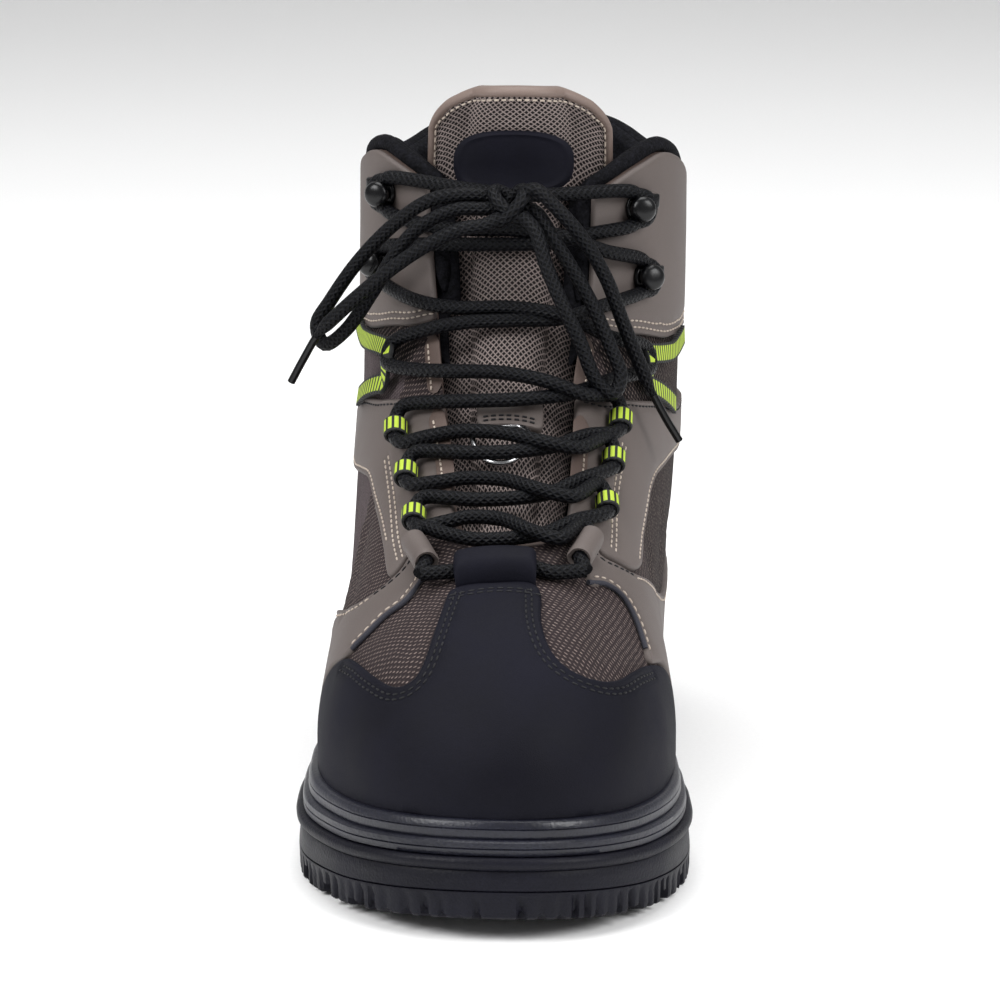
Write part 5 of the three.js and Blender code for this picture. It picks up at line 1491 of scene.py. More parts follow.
@dataclass
class Sole:
    """Lugged outsole, midsole with its bead, rand and insole."""

    lug_pitch: float = 17.0
    lug_groove: float = 4.5
    tooth_pitch: float = 4.9
    tooth_depth: float = 2.6
    bead_height: float = 4.0
    bead_proud: float = 0.9
    stations: int = 430

    def ring(self) -> tuple[np.ndarray, np.ndarray]:
        """Stations evenly spaced round the sole's edge, and their side: 1 medial, -1 lateral."""
        along = (1 - np.cos(np.linspace(0, np.pi, 2000))) / 2
        along = np.clip(along, 0.0004, 0.9996)
        y, _, medial, _ = LAST.sole_edges(along)
        run = np.concatenate([[0], np.cumsum(np.hypot(np.diff(y), np.diff(medial)))])
        even_along = np.interp(np.linspace(0, run[-1], self.stations), run, along)
        return (np.concatenate([even_along, even_along[::-1]]),
                np.concatenate([np.ones(self.stations), -np.ones(self.stations)]))

    def band(self, name: str, rows: Sequence[tuple[Callable[[np.ndarray], np.ndarray], float, float]],
             teeth: bool = False) -> bpy.types.Object:
        """A closed band round the sole.

        Args:
            name: The object's name.
            rows: Height, growth and share of the width of each row, from the lowest up.
            teeth: True to notch the lowest rows.

        Returns:
            The band.
        """
        along, side = self.ring()
        count = len(along)
        arc = np.arange(count) * 0.83
        phase = (arc / self.tooth_pitch + 0.35 * np.sin(arc / 17.0) + 0.2 * np.sin(arc / 5.3)) % 1
        notch = np.clip(1.4 - np.abs(phase - 0.5) / 0.2, 0, 1) * (0.65 + 0.35 * np.sin(arc / 3.1))

        def place(u: np.ndarray, v: np.ndarray) -> np.ndarray:
            """Points of the band."""
            k = np.rint(u * count).astype(int) % count
            r = np.rint(v * (len(rows) - 1)).astype(int)
            out = np.zeros((len(k), 3))
            for i, (height, grown, share) in enumerate(rows):
                m = r == i
                a, s = along[k[m]], side[k[m]]
                bite = notch[k[m]] if teeth and 1 <= i <= 4 else 0.0
                y, axis, medial, lateral = LAST.sole_edges(a, grown - 1.3 * bite)
                edge = np.where(s > 0, medial, lateral)
                out[m, 0] = axis + (edge - axis) * share
                out[m, 1] = y
                reach = 1.0 if i in (1, 2) else 0.35
                out[m, 2] = height(LAST.along_of(y)) + self.tooth_depth * bite * reach
            return out

        obj = grid(name, count, len(rows) - 1, place)
        weld(obj, 0.01)
        return obj

    def cutters(self) -> bpy.types.Object:
        """Grooves between the lugs: zigzags across the tread, parted along it."""
        waist = (float(LAST.y_of(0.34)), float(LAST.y_of(0.5)))
        half = self.lug_groove / 2
        made = []
        for k in range(-17, 3):
            y = self.lug_pitch * (k + 0.5)
            if y < waist[1] or y > waist[0]:
                xs = np.array([-0.6, -0.24, 0.24, 0.6]) * LAST.width
                ys = np.array([y - self.lug_pitch / 3, y, y, y - self.lug_pitch / 3])
                low, high = np.stack([xs, ys - half], -1), np.stack([xs, ys + half], -1)
                made.append(prism(np.concatenate([low, high[::-1]]), (0, 1, 2), -20, LAST.lug_depth))
        return join("cutter", made)

    def outsole(self) -> bpy.types.Object:
        """Plate and lugs, with notched edges."""
        g = LAST.ground
        rows = [(g, -4.0, 0.0), (g, -0.9, 1.0), (lambda a: g(a) + 0.6, -0.2, 1.0),
                (lambda a: g(a) + 2.6, 0.0, 1.0), (lambda a: g(a) + 4.6, 0.0, 1.0),
                (lambda a: LAST.seam(a) - 0.9, 0.1, 1.0),
                (lambda a: LAST.seam(a) - 0.2, 0.0, 1.0), (LAST.seam, -0.5, 1.0), (LAST.seam, -4.0, 0.0)]
        obj = self.band("outsole_lugs", rows, teeth=True)
        cut(obj, self.cutters())
        smooth(obj, 32)
        return finish_piece(obj, SOLE_RUBBER, "outsole", slot="sole_rubber")

    def midsole(self) -> bpy.types.Object:
        """Side wall with a groove under the round bead."""
        top, low = LAST.sole_top, lambda a: LAST.seam(a) + 0.02
        bead = self.bead_height
        rows = [(low, -4.0, 0.0), (low, -0.5, 1.0), (lambda a: low(a) + 0.4, 0.05, 1.0),
                (lambda a: (low(a) + top(a) - bead) / 2, -0.25, 1.0),
                (lambda a: top(a) - bead - 0.5, -0.4, 1.0), (lambda a: top(a) - bead, -0.8, 1.0)]
        for turn in np.linspace(-70, 80, 9):
            t = math.radians(turn)
            rows.append((lambda a, t=t: top(a) - bead / 2 + bead / 2 * math.sin(t),
                         -0.9 + (self.bead_proud + 0.9) * math.cos(t), 1.0))
        rows += [(top, -1.6, 1.0), (top, -6.0, 0.0)]
        obj = self.band("midsole_bead", rows)
        smooth(obj, 45)
        return finish_piece(obj, SOLE_RUBBER, "midsole", slot="sole_rubber")

    def rand(self) -> bpy.types.Object:
        """Strip in two steps with a fine line pressed into each."""
        def row(up: float, inset: float, share: float = 1.0) -> tuple:
            """A row at a height over the midsole."""
            return (lambda a: LAST.sole_top(a) + 0.02 + up), -inset, share

        rows = [row(0, 8, 0), row(0, 1.7), row(0.5, 1.2), row(2.2, 1.1), row(2.45, 1.45), row(2.7, 1.1),
                row(4.3, 1.3), row(4.9, 1.9), row(5.2, 3.2), row(5.5, 3.0), row(6.2, 2.8), row(8.0, 2.9),
                row(8.25, 3.2), row(8.5, 2.9), row(10.2, 3.3), row(10.9, 4.0), row(11.2, 5.0),
                row(11.2, 12, 0)]
        obj = self.band("rand_strip", rows)
        cut(obj, form_solid("cutter", 0.1))
        smooth(obj, 40)
        return finish_piece(obj, RAND_RUBBER, "rand", slot="cap_rubber")

    def insole(self) -> bpy.types.Object:
        """Footbed inside the upper's wall."""
        obj = form_solid("footbed", -WALL - CLEARANCE)
        along = np.linspace(0, 1, 60)
        base = np.stack([LAST.y_of(along), LAST.sole_top(along) + 0.3], -1)
        top = base[::-1] + np.array([0, 4.5])
        cut(obj, prism(np.concatenate([base, top]), (1, 2, 0), -80, 80), keep=True)
        smooth(obj, 40)
        return finish_piece(obj, LINING_KNIT, "insole", slot="lining")

    def build(self) -> None:
        """Makes the four pieces."""
        for make in (self.outsole, self.midsole, self.rand, self.insole):
            make()


@dataclass
class Upper:
    """Cloth shell, and the panels sewn over it."""

    seam_inset: float = 2.0

    def shell(self) -> bpy.types.Object:
        """One wall on the last, open below, at the throat and at the collar."""
        sections, runs = Layout(Chart.SIDE).lengths()

        def place(u: np.ndarray, v: np.ndarray) -> np.ndarray:
            """Points of the last."""
            section = np.interp(v * runs[-1], runs, sections)
            bare = LAST.base(section, -180 + 360 * u)
            lift = LAST.relief(bare)[:, None]
            return bare + LAST.normal(np.maximum(section, 0.003), -180 + 360 * u) * lift

        obj = grid("upper_cloth", 176, 150, place)
        mesh = obj.data
        co = np.zeros(len(mesh.vertices) * 3)
        mesh.vertices.foreach_get("co", co)
        co = co.reshape(-1, 3) / MM
        loops = np.zeros(len(mesh.loops), int)
        mesh.loops.foreach_get("vertex_index", loops)
        corners = co[loops].reshape(-1, 4, 3)
        centre = corners.mean(axis=1)
        vamp = centre[:, 1] < -118 + 0.55 * (centre[:, 2] - 96)
        mesh.uv_layers[0].data.foreach_set("uv", self.spread_uv(co, 177)[loops].ravel())
        index = np.where(vamp, 1, np.where((centre[:, 0] < 0) & (centre[:, 2] < 135), 3, 2))
        for finish in [FACING_LEATHER, VAMP_MESH, SIDE_MESH, SIDE_CLOTH] + [LINING_KNIT] * 3:
            mesh.materials.append(finish.material())
        mesh.polygons.foreach_set("material_index", index)
        in_edit(obj, lambda: bpy.ops.mesh.remove_doubles(threshold=0.05 * MM),
                lambda: bpy.ops.mesh.normals_make_consistent(inside=False))
        choose(obj)
        apply_modifier(obj, "SOLIDIFY", thickness=WALL * MM, offset=-1.0, material_offset=3)
        cut(obj, under(lambda a: LAST.sole_top(a) + CLEARANCE))
        ups = np.linspace(0, 1, 40) ** 1.5 * (1.2 - 0.475) + 0.475
        sides = [np.stack([s * THROAT.at(c, ups) * LAST.width, ups * LAST.height], -1)
                 for s, c in ((1, "medial"), (-1, "lateral"))]
        cut(obj, prism(np.concatenate([sides[0], sides[1][::-1]]), (0, 2, 1), -LAST.length, -LAST.heel / 2))
        along = np.linspace(0.02, 0.38, 60)
        line = np.stack([LAST.y_of(along), TOPLINE.at("up", along) * LAST.height], -1)
        sky = [[line[-1, 0] - 40, line[-1, 1]], [line[-1, 0] - 40, 412], [66, 412], [66, line[0, 1]]]
        cut(obj, prism(np.concatenate([line, sky]), (1, 2, 0), -LAST.width, LAST.width))
        smooth(obj, 40)
        return finish_piece(obj, FACING_LEATHER, "upper", slot="mesh")

    @staticmethod
    def spread_uv(co: np.ndarray, columns: int) -> np.ndarray:
        """Millimetres round and along a grid's points, measured from its middle column.

        Args:
            co: The points, row by row.
            columns: Points in a row.

        Returns:
            The map's coordinates.
        """
        rows = co.reshape(-1, columns, 3)
        across = np.concatenate([np.zeros((len(rows), 1)), np.cumsum(
            np.linalg.norm(np.diff(rows, axis=1), axis=2), axis=1)], axis=1)
        across -= across[:, columns // 2:columns // 2 + 1]
        along = np.concatenate([np.zeros((1, columns)), np.cumsum(
            np.linalg.norm(np.diff(rows, axis=0), axis=2), axis=0)])
        return np.stack([across, along], -1).reshape(-1, 2)

    @staticmethod
    def edges(p: np.ndarray, collar: bool = True) -> np.ndarray:
        """How far points lie inside the throat, the collar's edge and the rand."""
        field = np.minimum(LAST.throat_field(p), p[..., 2] - LAST.rand_top(LAST.along_of(p[..., 1])) + 1.5)
        return np.minimum(field, LAST.collar_field(p)) if collar else field

    def panel(self, name: str, chart: Chart, outline: Pairs, finish: Finish, seams: Sequence[Seam],
              slot: str, nose: bool = False, lift: float = 0.0) -> None:
        """Makes a panel and its stitches.

        Args:
            name: The CAD node that it stands for.
            chart: How it lies flat.
            outline: Its outline.
            finish: Its finish.
            seams: Its stitch lines.
            slot: Its material slot.
            nose: True where it closes round the toe tip.
            lift: How far it lies over its neighbours.
        """
        shape = pattern(outline, Layout(chart))

        def field(flat: np.ndarray, p: np.ndarray) -> np.ndarray:
            """How far points lie inside the panel."""
            inside = outline_field(flat, shape)
            if nose:
                inside = np.maximum(inside, -256 - p[..., 1])
            return np.minimum(inside, self.edges(p))

        patch = Patch(name + "_panel", chart, field, low=0.02 + lift, high=OVERLAY + CLEARANCE + lift,
                      seams=tuple(seams))
        obj = patch.build()
        finish_piece(obj, finish, name, slot=slot)
        layout = Layout(chart)
        loops = np.concatenate([LAST.base(*layout.place(loop)) for loop in patch.loops(layout)])
        threads = {seam.thread.name: seam.thread for seam in seams}
        for number, thread in enumerate(threads.values()):
            rows = [seam for seam in seams if seam.thread is thread]

            def carries(points: np.ndarray) -> np.ndarray:
                """Which points lie on the panel, clear of its edge."""
                near = Patch.distance(points, loops) > 1.1
                if nose:
                    return near & (self.edges(points) > 1)
                return near & (Patch.distance(points, self.dots(obj)) < 2.3)

            stitches(f"{name}_stitches_{number}", rows, carries, patch.high, thread)

    @staticmethod
    def dots(obj: bpy.types.Object) -> np.ndarray:
        """The vertices of a panel's outer face, its mesh's first half, in millimetres."""
        co = np.zeros(len(obj.data.vertices) * 3)
        obj.data.vertices.foreach_get("co", co)
        return co.reshape(-1, 3)[: len(co) // 6] / MM

    @staticmethod
    def facing(name: str, side: int, reach: tuple[float, float], lift: float) -> None:
        """Brown leather strip along the throat's edge, with its row of light stitches.

        Args:
            name: The object's name.
            side: 1 for medial, -1 for lateral.
            reach: Its lowest and highest section.
            lift: Height of its middle over the last.
        """
        section = np.linspace(*reach, 16)
        up = LAST.base(section, 0.0)[:, 2] / LAST.height - 0.012
        rows = []
        for inward in (1.4, 2.4):
            across = side * (THROAT.at("medial" if side > 0 else "lateral", up) * LAST.width + inward)
            around = LAST.around_for(section, across - FORM_SPREAD.at("axis", section) * LAST.width)
            rows.append((LAST.point(section, around, lift), LAST.normal(section, around)))
        (middle, out), (row, outward) = rows
        line = smooth_curve(middle, 1.2)
        run, at = np.linspace(0, 1, len(line)), np.linspace(0, 1, len(out))
        up = unit(np.stack([np.interp(run, at, out[:, k]) for k in range(3)], -1))
        ends = np.sqrt(np.clip(np.minimum(run, 1 - run) * len(line) / 3, 0.05, 1))
        finish_piece(tube(name, line, 3.0 * ends, sides=18, flat=0.1, up=up), FACING_LEATHER)
        thread_rows(name + "_stitches", [(row[1:-1] + outward[1:-1] * 0.3, outward[1:-1])], 2.6, LIGHT_THREAD)

    def build(self) -> None:
        """Makes the shell, the panels, the facing strips and the piping."""
        self.shell()
        cap = [(0.35, -140), (0.35, 140), *CAP_REAR_MEDIAL, *CAP_FRONT, *CAP_REAR_LATERAL]
        finger = [(2.36, 12), (2.38, -3), (2.34, -19)]
        self.panel("toe_cap", Chart.TOE, cap, CAP_RUBBER, [
            Seam([CAP_REAR_MEDIAL[-1], *CAP_FRONT[:9]], (2.6, 4.3), DARK_THREAD),
            Seam([*CAP_FRONT[10:], CAP_REAR_LATERAL[0]], (2.6, 4.3), DARK_THREAD),
            Seam(finger, (0.0, 1.8), DARK_THREAD)], "cap_rubber", nose=True)
        for side, word in ((1, "medial"), (-1, "lateral")):
            top = FOXING_TOP_MEDIAL if side > 0 else FOXING_TOP_LATERAL
            front = FOXING_FRONT_MEDIAL if side > 0 else FOXING_FRONT_LATERAL
            rear = CAP_REAR_MEDIAL if side > 0 else CAP_REAR_LATERAL[::-1]
            low = [(10.6, side * 178), (9, side * 150), (6.5, side * 142)]
            inset = -side * self.seam_inset
            self.panel(f"foxing_{word}", Chart.SIDE, [*top, *low, *kept_off(rear), *front], TAUPE_LEATHER, [
                Seam(top[3:], (inset,)), Seam(top[:4], (-side * 1.6,), DARK_THREAD),
                Seam(front, (inset,))], "leather")
            shared = kept_off((FOXING_TOP_MEDIAL[:4] if side > 0 else FOXING_TOP_LATERAL[:3])[::-1])
            outline = QUARTER_MEDIAL if side > 0 else QUARTER_LATERAL
            middle = ([(6.95, 46.5), (5.93, 44), (4.68, 41.5), (4.15, 40)] if side > 0
                      else [(6.5, -45), (5.2, -40.5), (4.08, -36.5), (3.65, -34.5)])
            shape = [*outline, *shared, (shared[-1][0], side * 5)]
            self.panel(f"quarter_{word}", Chart.SIDE, shape, TAUPE_LEATHER, [
                Seam(outline[1:11], (inset,), DARK_THREAD), Seam(middle, (-1.0, 1.0)),
                Seam(outline[11:], (inset,))], "leather")
            self.facing(f"facing_low_{word}", side, (4.5, 6.55), OVERLAY + CLEARANCE + 0.3)
            self.facing(f"facing_high_{word}", side, (7.0, 8.6), 0.6)
            collar = COLLAR_MEDIAL if side > 0 else COLLAR_LATERAL
            lower = collar[3:11] if side > 0 else collar[2:11]
            rows = [Seam(lower, (-2.2, -4.4))]
            self.panel(f"collar_{word}", Chart.SIDE, collar, TAUPE_LEATHER, rows, "leather")
            self.piping(word, front)

    @staticmethod
    def piping(word: str, edge: Pairs) -> None:
        """Felt piping along the front edge of a strap over the vamp."""
        line, section, around = Seam(edge, (0.0,)).lines()[0]
        place = line + LAST.normal(section, around) * 0.95
        finish_piece(tube(f"piping_{word}", even(place, 1.2), 0.85, sides=8), GREY_PIPING)


@dataclass
class CollarLining:
    """Padded knit lining that stands out of the shaft as a roll."""

    thickness: float = 4.2
    rise: float = 4.0
    depth: float = 44.0
    in_throat: float = 5.5
    throat_end: float = 155.0
    roll_rise: float = 2.4
    roll_radius: float = 2.6
    roll_taper: float = 9.0

    def build(self) -> None:
        """Makes the lining."""
        def field(_: np.ndarray, p: np.ndarray) -> np.ndarray:
            """How far points lie inside the lining."""
            inside = np.minimum(LAST.collar_field(p, self.rise), -LAST.collar_field(p, -self.depth))
            reach = self.in_throat * np.clip((p[..., 2] - self.throat_end) / 5, 0, 1)
            return np.minimum(inside, LAST.throat_field(p, -reach))

        high = -WALL - CLEARANCE
        obj = Patch("collar_lining", Chart.HEEL, field, low=high - self.thickness, high=high, edge=3.4,
                    soft=True, spacing=2.0).build()
        apply_modifier(obj, "SUBSURF", levels=1, render_levels=1)
        roll = self.roll()
        obj = join("collar_lining", [obj, roll])
        finish_piece(obj, LINING_KNIT, "collar_pad", slot="lining")

    def roll(self) -> bpy.types.Object:
        """The lining's roll, over the collar's edge and down both sides of the throat."""
        layout = Layout(Chart.HEEL)

        def field(_: np.ndarray, p: np.ndarray) -> np.ndarray:
            """How far points lie inside the roll's middle line."""
            inside = np.minimum(LAST.collar_field(p, self.roll_rise), -LAST.collar_field(p, -self.depth))
            return np.minimum(inside, LAST.throat_field(p, -1.2))

        loop = max(Patch("roll", Chart.HEEL, field, low=0, high=1).loops(layout), key=len)
        section, around = layout.place(loop)
        bare = LAST.base(section, around)
        kept = (LAST.collar_field(bare, -self.depth + 5) < 0) & (bare[:, 2] > self.throat_end + 3)
        start = int(np.nonzero(kept & ~np.roll(kept, 1))[0][0])
        order = (np.arange(len(loop)) + start) % len(loop)
        order = order[kept[order]]
        middle = bare + LAST.normal(section, around) * (LAST.relief(bare) - self.roll_radius)[:, None]
        step = 1.5
        path = smooth_curve(middle[order][::6], step)
        run = np.arange(len(path)) * step
        taper = np.sin(np.clip(np.minimum(run, run[::-1]) / self.roll_taper, 0, 1) * np.pi / 2)
        return tube("roll", path, self.roll_radius * (0.2 + 0.8 * taper), sides=16)


@dataclass
class Tongue:
    """Padded mesh tongue with its leather binding, bare badge, and patch with a ring."""

    thickness: float = 5.0
    bottom: float = 3.9
    top: float = 16.62
    crest: float = 9.0
    corner: float = 5.0

    @staticmethod
    def point(section: np.ndarray, share: np.ndarray, lift: np.ndarray | float,
              follow: float = 1.0) -> np.ndarray:
        """Points over the tongue's outer face.

        Args:
            section: The sections.
            share: From -1 at the lateral edge to 1 at the medial one.
            lift: Height over the face.
            follow: The part of the fall to the edges that the points take.

        Returns:
            The points.
        """
        section, share = np.asarray(section, float), np.asarray(share, float)
        half, crown, flap = (TONGUE.at(c, section) * LAST.width for c in ("half", "crown", "flap"))
        fall = np.minimum(np.abs(share) * 1.95, 1) ** 3.5
        depth = crown + (flap - crown) * fall * follow
        return LAST.point(section, LAST.around_for(section, half * share), lift - depth)

    def arch(self, share: np.ndarray) -> np.ndarray:
        """How far the upper edge falls from its middle to its sides, and faster round its corners."""
        outer = np.clip((np.abs(share) - 0.84) / 0.16, 0, 1)
        return self.crest * np.abs(share) ** 3 + self.corner * outer ** 2

    def body(self) -> None:
        """Padded body with two sewn channels."""
        foot, head = float(LAST.base(self.bottom, 0.0)[2]), float(LAST.base(self.top, 0.0)[2]) - 1.5

        def place(u: np.ndarray, v: np.ndarray) -> np.ndarray:
            """Points of the body: down one face and back on the other."""
            outer = u <= 0.5
            share = np.where(outer, 1 - 4 * u, 4 * u - 3)
            arched = self.arch(share) * np.clip((v - 0.6) / 0.4, 0, 1)
            section = LAST.section_at(foot + (head - foot) * v - arched)
            puff = np.sqrt(np.clip(1 - np.abs(share) ** 8, 0, 1))
            channel = np.exp(-(((np.abs(share) - 0.5) / 0.07) ** 2))
            pillow = 0.5 * np.cos(np.clip(share / 0.5, -1, 1) * np.pi / 2)
            low = np.clip((0.78 - v) / 0.1, 0, 1)
            face = puff * self.thickness / 2 + np.where(outer, (pillow - 1.0 * channel) * low, 0)
            lift = -self.thickness / 2 + np.where(outer, face, -puff * self.thickness / 2)
            return self.point(section, share, lift)

        width = 2 * 0.29 * LAST.width
        length = float(np.linalg.norm(np.diff(LAST.base(np.linspace(self.bottom, self.top, 60), 0.0), axis=0),
                                      axis=1).sum())
        obj = grid("tongue_pad", 144, 110, place, size=(2 * width, length))
        weld(obj, 0.02)
        smooth(obj, 60)
        finish_piece(obj, TONGUE_MESH, "tongue", slot="mesh")

    def rim(self, inset: float) -> tuple[np.ndarray, np.ndarray]:
        """The tongue's upper edge, moved in, with its outward directions."""
        start = float(LAST.base(14.6, 0.0)[2])
        high = float(LAST.base(self.top, 0.0)[2])
        side_rise = np.linspace(start, high - self.crest - self.corner - 2, 16)
        over = np.sin(np.radians(np.linspace(86, -86, 31)))
        sides = np.concatenate([np.ones(16), over, -np.ones(16)])
        height = np.concatenate([side_rise, high - self.arch(over), side_rise[::-1]])
        lowered = LAST.section_at(height - inset * np.clip((1 - np.abs(sides)) / 0.1, 0, 1))
        half = TONGUE.at("half", lowered) * LAST.width
        share = sides * (1 - inset / half)
        face = self.point(lowered, share, -self.thickness / 2)
        around = LAST.around_for(lowered, half * share)
        return face, LAST.normal(lowered, around)

    def binding(self) -> None:
        """Leather folded over the upper edge, with its row of stitches."""
        face, out = self.rim(1.9)
        line = smooth_curve(face, 1.2)
        at, run = np.linspace(0, 1, len(out)), np.linspace(0, 1, len(line))
        up = unit(np.stack([np.interp(run, at, out[:, k]) for k in range(3)], -1))
        obj = tube("tongue_edge_binding", line, 1.9, sides=18, flat=1.6, up=up)
        finish_piece(obj, BINDING_LEATHER, "tongue_binding", slot="leather")
        face, out = self.rim(4.1)
        face = face + out * (self.thickness / 2 + 0.1)
        thread_rows("tongue_binding_stitches", [(face, out)], 2.6, LIGHT_THREAD)

    def plate(self, name: str, centre: tuple[float, float], size: tuple[float, float], power: float,
              lift: float, thickness: float, rim: float) -> bpy.types.Object:
        """A rounded plate on the tongue.

        Args:
            name: The object's name.
            centre: Its middle: across, and the height of its ridge point.
            size: Half its width and height.
            power: How square it is.
            lift: Height of its foot over the face.
            thickness: Its thickness.
            rim: How far its rim stands up.

        Returns:
            The plate.
        """
        def place(u: np.ndarray, v: np.ndarray) -> np.ndarray:
            """Points from the middle out, over the edge and down."""
            turn = 2 * np.pi * u
            c, s = np.cos(turn), np.sin(turn)
            reach = (np.abs(c) ** power + np.abs(s) ** power) ** (-1 / power)
            r = np.minimum(v / 0.8, 1) ** 0.8
            down = np.clip((v - 0.8) / 0.2, 0, 1)
            x = centre[0] + size[0] * reach * c * (r + 0.01 * np.sin(down * np.pi))
            z = centre[1] + size[1] * reach * s * (r + 0.01 * np.sin(down * np.pi))
            section = LAST.section_at(z)
            half = TONGUE.at("half", section) * LAST.width
            edge = np.exp(-(((r - 0.9) / 0.045) ** 2)) * rim
            crown = np.sqrt(np.clip(1 - np.clip((r - 0.93) / 0.07, 0, 1) ** 2, 0, 1))
            height = lift + thickness * (0.75 + 0.25 * crown) * (1 - down) + edge * (1 - down)
            return self.point(section, x / half, height, follow=0.25)

        obj = grid(name, 96, 24, place)
        weld(obj, 0.01)
        smooth(obj, 40)
        return obj

    def badge(self) -> None:
        """Bare oval badge with a raised rim."""
        obj = self.plate("badge_plate", (-1.5, LAST.height * 0.975), (20, 10.25), 2.6, 0.3, 2.0, 0.45)
        finish_piece(obj, CAP_RUBBER, "badge", slot="cap_rubber")

    def ring(self) -> None:
        """Steel ring hanging from its folded patch."""
        middle = float(LAST.base(6.24, 0.0)[2])
        rise = float(LAST.base(6.57, 0.0)[2]) - middle
        patch = self.plate("ring_patch_folded", (1.5, middle), (10.75, rise), 5, 0.3, 3.0, 0.0)
        finish_piece(patch, TAUPE_LEATHER, "ring_patch", slot="leather")
        rows = []
        for height in (-0.45, -0.7):
            across = np.linspace(-8.5, 8.5, 9) + 1.5
            section = LAST.section_at(np.full(9, middle + rise * height))
            half = TONGUE.at("half", section) * LAST.width
            rows.append((self.point(section, across / half, 3.4, follow=0.25),
                         LAST.normal(section, np.zeros(9))))
        thread_rows("ring_patch_stitches", rows, 2.4, DARK_THREAD)
        seat = LAST.seat(6.15, 0.0, 0.6)
        turns = np.radians([0, 35, 65, 90, 115, 145, 180])
        local = [(x, -1.2, -5.0) for x in (-6.24, 0.0, 6.24)]
        local += [(math.cos(t) * 8.9, 0.9 + 2.6 * math.sin(t), -9.5 - 14.0 * math.sin(t)) for t in turns]
        points = np.array([(x + 1.5, y, z) for x, y, z in local])
        path = smooth_curve(points @ seat[:3, :3].T + seat[:3, 3], 0.8, closed=True)
        obj = tube("ring_wire", np.concatenate([path, path[:1]]), 1.0, sides=14)
        finish_piece(obj, STEEL, "d_ring", slot="steel")

    def build(self) -> None:
        """Makes the tongue's pieces."""
        self.body()
        self.binding()
        self.badge()
        self.ring()


